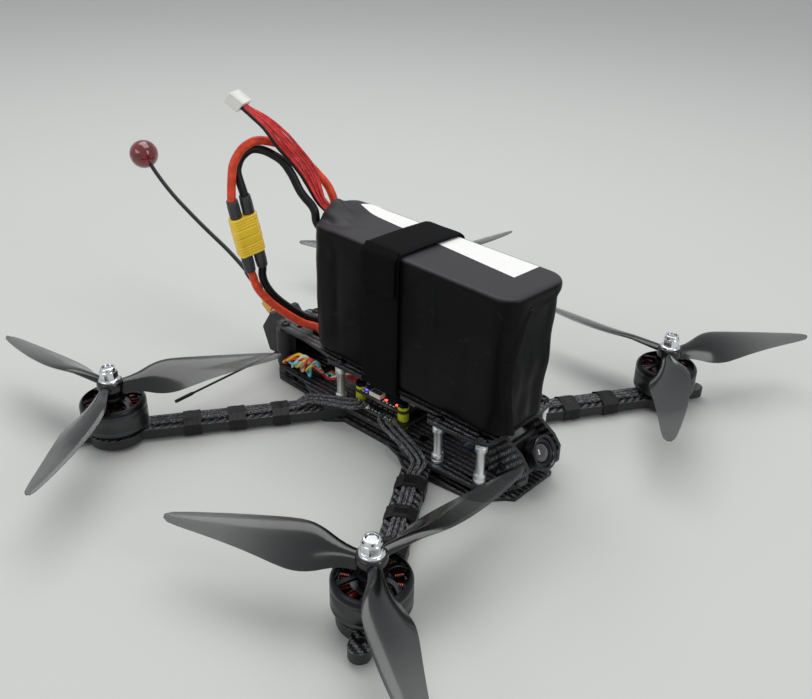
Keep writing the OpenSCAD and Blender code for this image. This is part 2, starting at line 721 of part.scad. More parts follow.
motor_wire_r = 1.05;
wire_step = 2.35;
lift_at = 24;
module motor_leads() color("#18191b") for (i = [0 : 3], k = [-1 : 1]) {
  side = i % 2 == 0 ? -1 : 1;
  end = i < 2 ? 1 : -1;
  off = k * wire_step * [-arm_dir(i)[1], arm_dir(i)[0]];
  pad = [end * pad_x - k * pad_step * side, side * pad_y];
  rise = arm_point(i, lift_at - 9) + 1.4 * off;
  far = 1 + end * side * k;
  low = mid_z + motor_wire_r + fit;
  tube([
    each [for (s = [arm_len(i) - bell_r - 0.6, lift_at]) let (p = arm_point(i, s) + off) [p[0], p[1], low]],
    [rise[0], rise[1], deck_z + motor_wire_r + 1],
    [pad[0] + 4 * end, side * (esc_w / 2 + 1.6 + far * (wire_step + fit)), pad_top + 0.9],
    [pad[0], pad[1], pad_top + motor_wire_r + 0.1]
  ], motor_wire_r, motor_wire_r, 8, [0, 0, 1]);
}

wrap_l = 9;
wrap_t = 0.6;
wrap_top = arm_t + 2 * motor_wire_r + 2 * fit;
module lead_wraps() color("#0e0e0f") for (i = [0 : 3], s = [32, 55, 78])
  translate([root_of(i)[0], root_of(i)[1], arm_z]) rotate(arm_angle(i)) translate([s, 0, 0]) difference() {
    translate([-wrap_l / 2, -arm_w / 2 - wrap_t, -wrap_t])
      cube([wrap_l, arm_w + 2 * wrap_t, wrap_top + 2 * wrap_t]);
    translate([-wrap_l / 2 - 1, -arm_w / 2 - fit, -fit])
      cube([wrap_l + 2, arm_w + 2 * fit, wrap_top + fit]);
  }

// ---- Motors ----

module at_motors() {
  for (i = [0 : 3]) translate([MOTORS[i][0], MOTORS[i][1], motor_z]) rotate(arm_angle(i)) children();
}

base_r = 13;
bearing_h = 3;
module motor_bases() color("#3c3d40") at_motors() {
  difference() {
    union() {
      cylinder(r = base_r, h = base_h);
      cylinder(r = tube_r, h = stator_z + stator_h + 1.5);
    }
    translate([0, 0, -1]) cylinder(r = bearing_r, h = motor_h);
    translate([0, 0, -1]) motor_holes(hole_r, base_h + 2);
    for (k = [0 : 3]) rotate(90 * k) translate([base_r - 2.6, 0, -1]) cylinder(r = 1.9, h = base_h + 2);
  }
  for (z = [1, stator_z + stator_h + 1.5 - bearing_h]) translate([0, 0, z]) difference() {
    cylinder(r = bearing_r - 0.02, h = bearing_h);
    translate([0, 0, -1]) cylinder(r = shaft_r + 0.03, h = bearing_h + 2);
  }
}

yoke_r = 8.4;
shoe_t = 1.3;
tooth_w = 2.2;
coil_w = 4.1;
coil_over = 1;
module motor_stators() color("#7d3a24") at_motors() translate([0, 0, stator_z]) {
  difference() {
    linear_extrude(stator_h) {
      circle(yoke_r);
      for (k = [0 : teeth - 1]) rotate(360 * k / teeth) {
        translate([yoke_r - 1, -tooth_w / 2]) square([stator_r - yoke_r, tooth_w]);
        intersection() {
          difference() {
            circle(stator_r);
            circle(stator_r - shoe_t);
          }
          polygon([[0, 0], [20, -20 * tan(146 / teeth)], [20, 20 * tan(146 / teeth)]]);
        }
      }
    }
    translate([0, 0, -1]) cylinder(r = tube_r + fit, h = stator_h + 2);
  }
  for (k = [0 : teeth - 1]) rotate(360 * k / teeth) difference() {
    translate([yoke_r + 0.9, -coil_w / 2, -coil_over])
      cube([stator_r - shoe_t - yoke_r - 1.1, coil_w, stator_h + 2 * coil_over]);
    translate([yoke_r, -tooth_w / 2 - fit, -fit])
      cube([stator_r - yoke_r, tooth_w + 2 * fit, stator_h + 2 * fit]);
  }
}

spokes = 6;
spoke_w = 2.6;
spoke_t = 2.2;
seat_top_r = 6.5;
magnet_h = stator_h;
module bell(i) color("#2b2c2f") translate([MOTORS[i][0], MOTORS[i][1], motor_z]) {
  top = motor_h;
  difference() {
    union() {
      rotate_extrude() polygon([
        [bell_r - bell_wall, bell_z], [bell_r - 0.4, bell_z], [bell_r, bell_z + 0.4], [bell_r, top - 5],
        [bell_r - 2.6, top - 1.4], [bell_r - 4.2, top - 1], [bell_r - 4.2, top - 2.4],
        [bell_r - bell_wall, top - 6]
      ]);
      translate([0, 0, top - 3.4]) cylinder(r = seat_top_r, h = 3.4);
      for (k = [0 : spokes - 1]) rotate(360 * k / spokes)
        translate([seat_top_r - 1, -spoke_w / 2, top - 1 - spoke_t])
          cube([bell_r - 3.6 - seat_top_r + 1, spoke_w, spoke_t]);
    }
    translate([0, 0, -1]) cylinder(r = shaft_r + 0.02, h = top + 2);
  }
  translate([0, 0, 0.8]) cylinder(r = shaft_r, h = shaft_top - motor_z - 0.8);
  for (k = [0 : magnets - 1]) rotate(360 * k / magnets) intersection() {
    translate([0, 0, stator_z]) difference() {
      cylinder(r = bell_r - bell_wall - 0.02, h = magnet_h);
      translate([0, 0, -1]) cylinder(r = bell_r - bell_wall - magnet_t, h = magnet_h + 2);
    }
    translate([0, -bell_r * sin(136 / magnets), 0])
      cube([bell_r + 2, 2 * bell_r * sin(136 / magnets), motor_h]);
  }
}
module bell_front_right() { bell(0); }
module bell_front_left() { bell(1); }
module bell_rear_right() { bell(2); }
module bell_rear_left() { bell(3); }

// ---- Propellers ----

prop_r = prop_d / 2;
stations = 13;
function spanned(t) = 4.6 + (prop_r - 4.6) * t;
// Share of the widest chord along the blade
CHORDS = [
  [0, 0.36], [0.08, 0.42], [0.15, 0.62], [0.22, 0.86], [0.3, 1], [0.4, 0.95], [0.5, 0.84], [0.62, 0.71],
  [0.75, 0.56], [0.9, 0.38], [1, 0.2]
];
function chord(t) = blade_chord * lookup(t, CHORDS);
function twist(r) = min(34, atan(prop_pitch / (2 * PI * r)));
function thick(t) = 3.2 * (1 - t) + 0.9;
// Rounded wing section: position along the chord, upper side, lower side
SECTION = [
  [0, 0], [0.12, 0.52], [0.35, 0.8], [0.65, 0.62], [1, 0.06], [0.65, -0.02], [0.35, 0.02], [0.12, -0.22]
];
module blade(way) {
  rows = [for (j = [0 : stations]) let (
    t = j / stations, r = spanned(t), c = chord(t), a = twist(r), lead = 0.42 * c + 2.4 * sin(180 * t)
  ) [for (p = SECTION) let (u = lead - p[0] * c, w = p[1] * thick(t))
    [r, way * (u * cos(a) - w * sin(a)), u * sin(a) + w * cos(a) - 0.4]]];
  n = len(SECTION);
  points = [for (row = rows) each row];
  flip = way > 0;
  faces = concat(
    [[for (k = [0 : n - 1]) flip ? k : n - 1 - k]],
    [[for (k = [0 : n - 1]) stations * n + (flip ? n - 1 - k : k)]],
    [for (j = [0 : stations - 1], k = [0 : n - 1]) let (m = (k + 1) % n, s = j * n)
      flip ? [s + k, s + n + k, s + m] : [s + m, s + n + k, s + k]],
    [for (j = [0 : stations - 1], k = [0 : n - 1]) let (m = (k + 1) % n, s = j * n)
      flip ? [s + m, s + n + k, s + n + m] : [s + n + m, s + n + k, s + m]]
  );
  polyhedron(points, faces);
}

module propeller(i) color("#2e3033") translate([MOTORS[i][0], MOTORS[i][1], hub_mid]) difference() {
  union() {
    translate([0, 0, -hub_h / 2]) cylinder(d = hub_d, h = hub_h);
    for (k = [0 : 2]) rotate(BLADE_AT[i] + 120 * k) blade(SPIN[i]);
  }
  cylinder(r = shaft_r + fit, h = 2 * hub_h, center = true);
}
module propeller_front_right() { propeller(0); }
module propeller_front_left() { propeller(1); }
module propeller_rear_right() { propeller(2); }
module propeller_rear_left() { propeller(3); }

flange_t = 1.2;
module prop_nut(i) color("silver") translate([MOTORS[i][0], MOTORS[i][1], bell_top + hub_h]) difference() {
  union() {
    cylinder(r1 = 5.4, r2 = 5, h = flange_t);
    cylinder(r = 4.6, h = nut_h - 2, $fn = 6);
    translate([0, 0, nut_h - 2 - eps]) cylinder(r1 = 3.9, r2 = 3.5, h = 2 + eps);
  }
  translate([0, 0, -1]) cylinder(r = shaft_r + fit, h = nut_h + 2);
}
module prop_nut_front_right() { prop_nut(0); }
module prop_nut_front_left() { prop_nut(1); }
module prop_nut_rear_right() { prop_nut(2); }
module prop_nut_rear_left() { prop_nut(3); }

// ---- Battery ----

module pack_frame() {
  translate([pack_x, 0, 0]) rotate(pack_yaw) children();
}

// The film gathered up over the leads at the pack's rear: place across the pack, and height over its top
HOOD = [
  [-13.1, -6], [-13.1, -0.7], [-12, 3.1], [-8.4, 5.7], [-4.3, 8], [-2, 8.7], [12.7, 3.7], [13.4, 3], [13.4, -6]
];
hood_l = 15;
module film_hood() hull() {
  translate([0.3 - pack_l / 2, 0, 0]) rotate([90, 0, 90]) linear_extrude(0.2) polygon(HOOD);
  translate([hood_l - pack_l / 2, 0, -3]) cube([0.2, 20, 5.2], center = true);
}

module battery_pack() color("#3a3b3d") pack_frame() {
  translate([0, 0, pack_z]) block(pack_l, pack_w, pack_h, pack_r);
  translate([0, 0, pack_top]) film_hood();
}

pad_l = 112;
pad_w = 30;
module battery_pad() color("#141415") pack_frame() translate([-4, 0, pad_z]) block(pad_l, pad_w, pad_t, 3);

module battery_strap() color("#101011") pack_frame() translate([strap_x - pack_x, 0, 0])
  rotate([90, 0, 90]) translate([0, (top_z + pack_top) / 2, -strap_w / 2])
  linear_extrude(strap_w) difference() {
    rounded(pack_w + 2 * (strap_gap + strap_t), pack_top - top_z + 2 * (strap_gap + strap_t), 2.4);
    rounded(pack_w + 2 * strap_gap, pack_top - top_z + 2 * strap_gap, 0.7);
  }

// ---- Power plug and leads ----

module plug_frame() {
  translate(plug_at) rotate([plug_lean, 0, 0]) rotate(plug_turn) children();
}

module plug_half() {
  linear_extrude(plug_l) difference() {
    rounded(plug_w, plug_t, 1.6);
    translate([plug_w / 2, plug_t / 2]) rotate(45) square(3.4, center = true);
    translate([plug_w / 2, -plug_t / 2]) rotate(45) square(3.4, center = true);
  }
  for (s = SIDES) translate([s * wire_gap / 2, 0, plug_l - eps]) cylinder(r = cup_r, h = cup_l);
}
module battery_plug() color("#f2c21a") plug_frame() plug_half();
module frame_plug() color("#f2c21a") plug_frame() mirror([0, 0, 1]) plug_half();

module plug_sleeves() color("#242527") plug_frame() for (s = SIDES, m = [0, 1]) mirror([0, 0, m])
  translate([s * wire_gap / 2, 0, plug_l]) difference() {
    cylinder(r = sleeve_r, h = sleeve_l);
    translate([0, 0, -1]) cylinder(r = cup_r + fit, h = sleeve_l + 2);
  }

module lead(points) {
  tube(smooth(points, 2), lead_r, lead_r, 10, [0, 0, 1]);
}

cup_end = plug_l + cup_l + fit;
sleeve_end = plug_l + sleeve_l;
module battery_lead_red() color("#d8401c")
  lead(concat(RED_ROUTE, [plug_point(-wire_gap / 2, sleeve_end), plug_point(-wire_gap / 2, cup_end)]));
module battery_lead_black() color("#151516")
  lead(concat(BLACK_ROUTE, [plug_point(wire_gap / 2, sleeve_end), plug_point(wire_gap / 2, cup_end)]));
module frame_lead_red() color("#d8401c")
  lead(concat([plug_point(-wire_gap / 2, -cup_end), plug_point(-wire_gap / 2, -sleeve_end)], FRAME_RED));
module frame_lead_black() color("#151516")
  lead(concat([plug_point(wire_gap / 2, -cup_end), plug_point(wire_gap / 2, -sleeve_end)], FRAME_BLACK));

module balance_lead() color("#c22a1c")
  tube(BALANCE_ROUTE, balance_w / 2, balance_t / 2, 8, [0, 1, 1], BALANCE_TURNS, BALANCE_SHARES);

balance_end = BALANCE_ROUTE[len(BALANCE_ROUTE) - 1];
module balance_plug() color("#eeeeea") translate(balance_end) rotate(balance_plug_turn)
  translate([0, 0, 0.05]) difference() {
    translate([-8, -2.7, 0]) cube([16, 5.4, 8]);
    translate([-7, -1.8, 2.5]) cube([14, 3.6, 6]);
  }

// ---- Antenna ----

axis_from = [-100, 0, 28.5];
axis_dir = [-cos(antenna_rise), 0, sin(antenna_rise)];
module antenna_axis() {
  translate(axis_from) rotate([0, antenna_rise - 90, 0]) children();
}

clasp_r = standoff_d / 2 + 2.4;
thread_r = 3.15;
module antenna_mount() color("#1a1a1b") difference() {
  union() {
    for (s = SIDES) translate([rear_post[0], s * rear_post[1], deck_z + slack])
      cylinder(r = clasp_r, h = bay_h - 2 * slack);
    translate([rear_post[0] - 9, -rear_post[1], deck_z + slack])
      cube([6, 2 * rear_post[1], bay_h - 2 * slack]);
    translate([0, 10, 0]) rotate([90, 0, 0]) linear_extrude(20) polygon([
      [rear_post[0] - 4, deck_z + slack], [rear_post[0] - 4, top_z - slack], [tail_x - 3, top_z - slack],
      [tail_x - 6, top_z + 3], [tail_x - 9, top_z + 3], axis_foot(1), axis_foot(-1),
      [tail_x - 10, deck_z + slack]
    ]);
  }
  for (s = SIDES) translate([rear_post[0], s * rear_post[1], 0]) cylinder(r = standoff_d / 2 + fit, h = 60);
  translate([tail_x - 5, -6.5, deck_z + 3]) cube([20, 13, bay_h - 7]);
  antenna_axis() translate([0, 0, -12]) cylinder(r = thread_r + fit, h = 30);
  bar(whip_from + unit(whip_from - whip_to), whip_to, whip_r + fit);
}
// Corners of the slanted face that the connector sits on
foot_r = 6.4;
function axis_foot(s) = [axis_from[0] + s * foot_r * sin(antenna_rise),
  axis_from[2] + s * foot_r * cos(antenna_rise)];

mast_from = 19;
module sma_connector() color("#c9a24a") antenna_axis() {
  translate([0, 0, -6]) cylinder(r = thread_r, h = 14);
  cylinder(r = 4.7, h = 2, $fn = 6);
  translate([0, 0, 4.5]) cylinder(r = 4.6, h = 7.5, $fn = 6);
  translate([0, 0, 11.9]) cylinder(r1 = 3.4, r2 = 2.6, h = mast_from - 12);
}

mast_r = mast_d / 2;
MAST_ROUTE = [[-126, 0, 46], [-137, 0, 52], [-148, 0, 57], [-160, 0, 61.5], [-173, 0, 66.5], [-186, 0, 72],
              [-197, 0, 77], [-207, 0, 82.5], [-216, 0, 88.5], [-222, 0, 93.3]];
function axis_point(t) = axis_from + t * axis_dir;
cap_at = [-228.5, 0, 98.6];
cap_way = unit(cap_at - MAST_ROUTE[len(MAST_ROUTE) - 1]);
mast_end = cap_at - 2 * cap_way;
module antenna_mast() color("#131314") {
  tube(concat([axis_point(mast_from)], MAST_ROUTE, [mast_end]), mast_r, mast_r, 10, [0, 1, 0]);
  difference() {
    bar(axis_point(mast_from), axis_point(mast_from + 16), mast_r + 0.9);
    bar(axis_point(mast_from - 2), axis_point(mast_from + 20), mast_r + 0.35);
  }
}

module antenna_cap() color("#6e1219") difference() {
  translate(cap_at) sphere(d = cap_d);
  bar(cap_at - cap_d * cap_way, mast_end + 0.1 * cap_way, mast_r + 0.2);
}

bottom_plate();
mid_plate();
top_plate();
arm_front_right();
arm_front_left();
arm_rear_right();
arm_rear_left();
standoffs();
frame_screws();
top_screws();
motor_screws();
camera_plate_right();
camera_plate_left();
camera_case();
camera_lens();
camera_screws();
esc_board();
esc_parts();
flight_controller();
controller_parts();
boot_button();
stack_screws();
stack_dampers();
filter_capacitor();
receiver();
receiver_antenna();
video_transmitter();
signal_wires();
motor_leads();
lead_wraps();
motor_bases();
motor_stators();
bell_front_right();
bell_front_left();
bell_rear_right();
bell_rear_left();
propeller_front_right();
propeller_front_left();
propeller_rear_right();
propeller_rear_left();
prop_nut_front_right();
prop_nut_front_left();
prop_nut_rear_right();
prop_nut_rear_left();
battery_pack();
battery_pad();
battery_strap();
battery_lead_red();
battery_lead_black();
battery_plug();
frame_plug();
plug_sleeves();
frame_lead_red();
frame_lead_black();
balance_lead();
balance_plug();
antenna_mount();
sma_connector();
antenna_mast();
antenna_cap();
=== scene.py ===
"""A seven-inch racing quadcopter: finishes, leads, battery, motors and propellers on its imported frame."""
import json
import math

import bmesh
import bpy
from bpy.props import FloatProperty, FloatVectorProperty, IntProperty, PointerProperty
from mathutils import Euler, Matrix, Quaternion, Vector, noise


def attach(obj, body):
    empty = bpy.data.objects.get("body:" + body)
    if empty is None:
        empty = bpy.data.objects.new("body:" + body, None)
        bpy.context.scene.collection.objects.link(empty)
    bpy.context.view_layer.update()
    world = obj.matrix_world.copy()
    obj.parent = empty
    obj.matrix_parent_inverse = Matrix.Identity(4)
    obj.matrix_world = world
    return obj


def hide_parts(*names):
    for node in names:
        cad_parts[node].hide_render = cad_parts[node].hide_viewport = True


bl_info = {
    "name": "Racing Quadcopter",
    "version": (1, 0, 0),
    "blender": (4, 5, 0),
    "location": "3D View > Sidebar > Quadcopter",
    "description": "Finishes, leads, battery, motors and propellers for a racing quadcopter's frame",
    "category": "Add Mesh",
}

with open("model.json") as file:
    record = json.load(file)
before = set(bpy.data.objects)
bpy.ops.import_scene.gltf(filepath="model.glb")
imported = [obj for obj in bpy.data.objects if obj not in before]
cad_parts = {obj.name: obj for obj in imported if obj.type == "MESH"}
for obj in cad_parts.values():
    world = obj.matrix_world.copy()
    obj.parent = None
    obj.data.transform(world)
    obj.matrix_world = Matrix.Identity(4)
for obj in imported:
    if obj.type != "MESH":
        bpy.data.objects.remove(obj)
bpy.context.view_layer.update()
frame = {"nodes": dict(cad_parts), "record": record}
NODES = frame["nodes"]
ROTORS = ("front_right", "front_left", "rear_right", "rear_left")
MM = 0.001
X, Y, Z = Vector((1, 0, 0)), Vector((0, 1, 0)), Vector((0, 0, 1))
SIXTHS = [math.tau * k / 6 for k in range(6)]


def srgb(red, green, blue, alpha=1.0):
    """A display colour of 0 to 255 as the linear colour that shaders take."""
    return tuple(
        (c / 255 / 12.92 if c < 10.3 else ((c / 255 + 0.055) / 1.055) ** 2.4) for c in (red, green, blue)
    ) + (alpha,)


def tinted(colour, by, plus=0.0):
    """A linear colour made lighter or darker."""
    return tuple(min(1, c * by + plus) for c in colour[:3]) + (1,)


def clamped(value):
    return max(0, min(1, value))


# ---- Shader maths ----


class Value:
    """A shader socket that takes part in Python arithmetic."""

    def __init__(self, finish, socket):
        self.finish = finish
        self.socket = socket

    def math(self, operation, *others):
        return self.finish.math(operation, self, *others)

    def __add__(self, other):
        return self.math("ADD", other)

    __radd__ = __add__

    def __sub__(self, other):
        return self.math("SUBTRACT", other)

    def __rsub__(self, other):
        return self.finish.math("SUBTRACT", other, self)

    def __mul__(self, other):
        return self.math("MULTIPLY", other)

    __rmul__ = __mul__

    def __truediv__(self, other):
        return self.math("DIVIDE", other)

    def __pow__(self, other):
        return self.math("POWER", other)

    def __mod__(self, other):
        return self.math("FLOORED_MODULO", other)

    def floor(self):
        return self.math("FLOOR")

    def fract(self):
        return self.math("FRACT")

    def size(self):
        return self.math("ABSOLUTE")

    def above(self, limit):
        return self.math("GREATER_THAN", limit)

    def below(self, limit):
        return self.math("LESS_THAN", limit)

    def arch(self):
        """A value of 0 to 1 as a hump that is 0 at both ends and 1 in the middle."""
        return 1 - (self * 2 - 1) ** 2

    def rise(self, low, high, start=0.0, end=1.0):
        """A smooth step from start to end as the value goes from low to high."""
        settings = {"interpolation_type": "SMOOTHSTEP"}
        sockets = {0: self, 1: low, 2: high, 3: start, 4: end}
        return self.finish.node("ShaderNodeMapRange", settings, sockets)


class Finish:
    """A material with one Principled shader and the nodes that feed it."""

    def __init__(self, name, colour, roughness, metallic=0.0, **sockets):
        self.material = bpy.data.materials.new(name)
        self.material.use_nodes = True
        self.tree = self.material.node_tree
        self.shader = self.tree.nodes["Principled BSDF"]
        self.material.diffuse_color = colour
        self.set("Base Color", colour)
        self.set("Roughness", roughness)
        self.set("Metallic", metallic)
        for socket, value in sockets.items():
            self.set(socket.replace("_", " ").title().replace("Ior", "IOR"), value)

    def set(self, socket, value):
        self.feed(self.shader.inputs[socket], value)

    def feed(self, socket, value):
        if isinstance(value, Value):
            self.tree.links.new(value.socket, socket)
        else:
            socket.default_value = value

    def node(self, kind, settings=None, sockets=None, output=0):
        """Adds a node: its settings go first, and then the values or links of its sockets."""
        node = self.tree.nodes.new(kind)
        for key, value in (settings or {}).items():
            setattr(node, key, value)
        for key, value in (sockets or {}).items():
            self.feed(node.inputs[key], value)
        return Value(self, node.outputs[output])

    def math(self, operation, *values):
        return self.node("ShaderNodeMath", {"operation": operation}, dict(enumerate(values)))

    def place(self, scale=(1, 1, 1), turn=(0, 0, 0), shift=(0, 0, 0)):
        """Object coordinates, moved, turned and scaled."""
        where = self.node("ShaderNodeTexCoord", output="Object")
        return self.node("ShaderNodeMapping", None, {0: where, 1: shift, 2: turn, 3: scale})

    def axes(self, vector):
        parts = self.tree.nodes.new("ShaderNodeSeparateXYZ")
        self.feed(parts.inputs[0], vector)
        return [Value(self, output) for output in parts.outputs]

    def facing(self):
        """The surface normal's three parts."""
        return self.axes(self.node("ShaderNodeNewGeometry", output="Normal"))

    def noise(self, vector, scale, detail=3.0, roughness=0.5):
        return self.node("ShaderNodeTexNoise", None, {
            "Vector": vector, "Scale": scale, "Detail": detail, "Roughness": roughness,
        })

    def mix(self, share, first, second):
        """A colour between two colours."""
        return self.node("ShaderNodeMix", {"data_type": "RGBA"}, {0: share, 6: first, 7: second}, 2)

    def bump(self, height, distance, strength=1.0, normal=None):
        sockets = {"Height": height, "Distance": distance, "Strength": strength}
        if normal:
            sockets["Normal"] = normal
        bumped = self.node("ShaderNodeBump", None, sockets)
        self.set("Normal", bumped)
        return bumped


# ---- Mesh helpers ----


def piece_of(name, mesh, body, finishes, sharp=35):
    """Makes a piece of a bmesh, gives it its finishes and sets it on a body."""
    data = bpy.data.meshes.new(name)
    mesh.to_mesh(data)
    mesh.free()
    for finish in finishes:
        data.materials.append(finish.material)
    data.polygons.foreach_set("use_smooth", [True] * len(data.polygons))
    data.set_sharp_from_angle(angle=math.radians(sharp))
    piece = bpy.data.objects.new(name, data)
    bpy.context.collection.objects.link(piece)
    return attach(piece, body)


def shown(name, mesh, finishes, sharp, *nodes):
    """A piece on the frame that stands for CAD nodes."""
    return stands_for(piece_of(name, mesh, "frame", finishes, sharp), *nodes)


def body_of(node):
    return next(body for body, members in frame["record"]["behaviour"]["bodies"].items() if node in members)


def eased(piece, width, angle, segments=2):
    """Rounds every edge sharper than an angle, by a width in millimetres."""
    bevel = piece.modifiers.new("eased", "BEVEL")
    bevel.width = width * MM
    bevel.segments = segments
    bevel.angle_limit = math.radians(angle)
    return bevel


def refined(node, finish, ease=0.15, sharp=40, segments=2):
    """A copy of a CAD node with its triangles joined and its edges eased."""
    mesh = bmesh.new()
    mesh.from_mesh(NODES[node].data)
    bmesh.ops.remove_doubles(mesh, verts=mesh.verts, dist=0.002 * MM)
    piece = piece_of(node + "_eased", mesh, body_of(node), [finish], sharp)
    eased(piece, ease, sharp, segments).harden_normals = True
    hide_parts(node)
    slot_of(node)
    return piece


def slot_of(node):
    return next(part["material_slot"] for part in frame["record"]["subparts"] if part["node"] == node)


def stands_for(piece, *nodes):
    """The piece replaces CAD nodes, which are hidden; the piece is returned."""
    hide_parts(*nodes)
    return (piece, slot_of(nodes[0]))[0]


def joined_to(mesh, part, place=Matrix(), material=None):
    """Closes a part, turns its faces outwards, paints it and adds it to a mesh at a place."""
    bmesh.ops.remove_doubles(part, verts=part.verts, dist=0.001 * MM)
    bmesh.ops.recalc_face_normals(part, faces=part.faces)
    if material is not None:
        for face in part.faces:
            face.material_index = material
    return copied(mesh, part, [place])


def copied(mesh, part, places):
    """Adds a copy of a part to a mesh at each place."""
    data = bpy.data.meshes.new("part")
    part.to_mesh(data)
    part.free()
    for place in places:
        data.transform(place)
        mesh.from_mesh(data)
        data.transform(place.inverted())
    bpy.data.meshes.remove(data)
    return mesh


def turned(mesh, profile, place=Matrix(), steps=40, closed=False, material=0):
    """Spins a profile of (radius, height) points, in millimetres, about Z and puts the result in place."""
    part = bmesh.new()
    verts = [part.verts.new((radius * MM, 0, height * MM)) for radius, height in profile]
    pairs = list(zip(verts, verts[1:])) + ([(verts[-1], verts[0])] if closed else [])
    edges = [part.edges.new(pair) for pair in pairs]
    bmesh.ops.spin(
        part, geom=verts + edges, cent=(0, 0, 0), axis=(0, 0, 1), angle=math.tau, steps=steps, use_merge=True)
    return joined_to(mesh, part, place, material)


def lofted(mesh, rings, place=Matrix(), caps=True, material=0):
    """A skin over rings of points: each ring is extruded from the one before."""
    part = bmesh.new()
    verts = bmesh.ops.create_circle(part, segments=len(rings[0]), radius=1)["verts"]
    verts.sort(key=lambda v: math.atan2(v.co.y, v.co.x))
    edges = list({edge for v in verts for edge in v.link_edges})
    first = verts
    for ring in rings:
        if ring is not rings[0]:
            made = bmesh.ops.extrude_edge_only(part, edges=edges)["geom"]
            fresh = {g for g in made if isinstance(g, bmesh.types.BMVert)}
            verts = [next(e.other_vert(v) for e in v.link_edges if e.other_vert(v) in fresh) for v in verts]
            edges = [g for g in made if isinstance(g, bmesh.types.BMEdge) and fresh.issuperset(g.verts)]
        for vert, point in zip(verts, ring):
            vert.co = point
    if caps:
        bmesh.ops.contextual_create(part, geom=first)
        bmesh.ops.contextual_create(part, geom=verts)
    return joined_to(mesh, part, place, material)


def block(mesh, low, high, round_by=0.0, segments=2, place=Matrix(), material=0):
    """A box between two corners, in millimetres, with rounded edges."""
    part = bmesh.new()
    low, high = Vector(low) * MM, Vector(high) * MM
    size = high - low
    cube = bmesh.ops.create_cube(part, size=1)["verts"]
    bmesh.ops.scale(part, vec=size, verts=cube)
    bmesh.ops.translate(part, vec=low + size / 2, verts=cube)
    if round_by:
        edges, offset = part.edges[:], round_by * MM
        bmesh.ops.bevel(
            part, geom=edges, offset=offset, segments=segments, affect="EDGES", profile=0.5, material=-1)
    return joined_to(mesh, part, place, material)


def aimed(at, direction, side=X):
    """A matrix that puts Z along a direction and X as near a side as it can be."""
    z = Vector(direction).normalized()
    x = (Vector(side) - Vector(side).dot(z) * z).normalized()
    return Matrix.Translation(at) @ Matrix((x, z.cross(x), z)).transposed().to_4x4()


def smooth_line(points, per=6):
    """A spline through points, with a few points for each stretch."""
    points = [Vector(p) for p in points]
    ends = [2 * points[0] - points[1]] + points + [2 * points[-1] - points[-2]]
    line = []
    for a, b, c, d in zip(ends, ends[1:], ends[2:], ends[3:]):
        for k in range(per):
            t = k / per
            line.append(0.5 * (2 * b + (c - a) * t + (2 * a - 5 * b + 4 * c - d) * t**2
                               + (3 * b - a - 3 * c + d) * t**3))
    return line + [points[-1]]


def headings(line):
    return [(line[min(i + 1, len(line) - 1)] - line[max(i - 1, 0)]).normalized() for i in range(len(line))]


def carried(line, start):
    """A side direction at each point of a line, carried along it without twist."""
    sides, side = [], Vector(start)
    for along in headings(line):
        side = (side - side.dot(along) * along).normalized()
        sides.append(side)
    return sides


def strand(mesh, line, radius, sides=14, start=Z, material=0, shape=None):
    """A round tube along a line, with a radius that may change along it."""
    rings = []
    for i, (point, along, side) in enumerate(zip(line, headings(line), carried(line, start))):
        other = along.cross(side)
        share = i / (len(line) - 1)
        wide = radius * (shape(share) if shape else 1)
        rings.append([
            point + wide * (math.cos(math.tau * k / sides) * side + math.sin(math.tau * k / sides) * other)
            for k in range(sides)
        ])
    return lofted(mesh, rings, material=material)


def metres(points):
    """Points given in millimetres, as vectors in metres."""
    return [Vector(p) * MM for p in points]


def moved(x, y, z):
    """A matrix that shifts by millimetres."""
    return Matrix.Translation(Vector((x, y, z)) * MM)


def turned_by(angle, axis="Z"):
    """A matrix that turns by an angle in radians about an axis."""
    return Matrix.Rotation(angle, 4, axis)


# ---- Finishes ----


def carbon(name, turn=0.0, upright=False):
    """Twill-woven carbon plate: broad faces show the tows, with painted sheen making the tows on top lighter
    in flecks and painted shade in the grooves between tows, and cut edges show the stacked plies.
    """
    finish = Finish(name, srgb(24, 24, 26), 0.4, specular_ior_level=0.4, coat_weight=0.3, coat_roughness=0.14)
    x, y, z = finish.axes(finish.place(turn=(0, 0, turn)))
    across, along, depth = (x, z, y) if upright else (x, y, z)
    tow = 1.15 * MM
    u, v = across / tow, along / tow
    over = ((u.floor() - v.floor()) % 4).below(1.5)
    hump = over * u.fract().arch() + (1 - over) * v.fract().arch()
    fibre = finish.noise(finish.place(), 900, 2.0)
    normal = finish.facing()[1 if upright else 2].size()
    broad = normal.above(0.6)
    ply = ((depth / (0.28 * MM)).fract()).above(0.45)
    # Painted sheen: the tows that lie on top are lighter, most of all in these flecks, in place of the light
    # their fibres catch.
    sheen_fleck = finish.noise(finish.place(), 620, 2.0, 0.7).rise(0.46, 0.66)
    shade = finish.mix(over * (0.3 + 0.7 * sheen_fleck), srgb(12, 12, 13), srgb(122, 122, 126))
    # Painted shade: each tow darkens towards its sides, in the grooves between tows.
    shade = finish.mix(hump.rise(0.0, 0.5), srgb(5, 5, 6), shade)
    edge = finish.mix(ply, srgb(10, 10, 11), srgb(30, 30, 32))
    finish.set("Base Color", finish.mix(broad, edge, shade))
    finish.set("Roughness", broad * (0.3 + 0.16 * over + 0.1 * fibre) + (1 - broad) * 0.62)
    finish.bump(broad * hump * 0.7 + 0.25 * fibre, 0.05 * MM)
    return finish


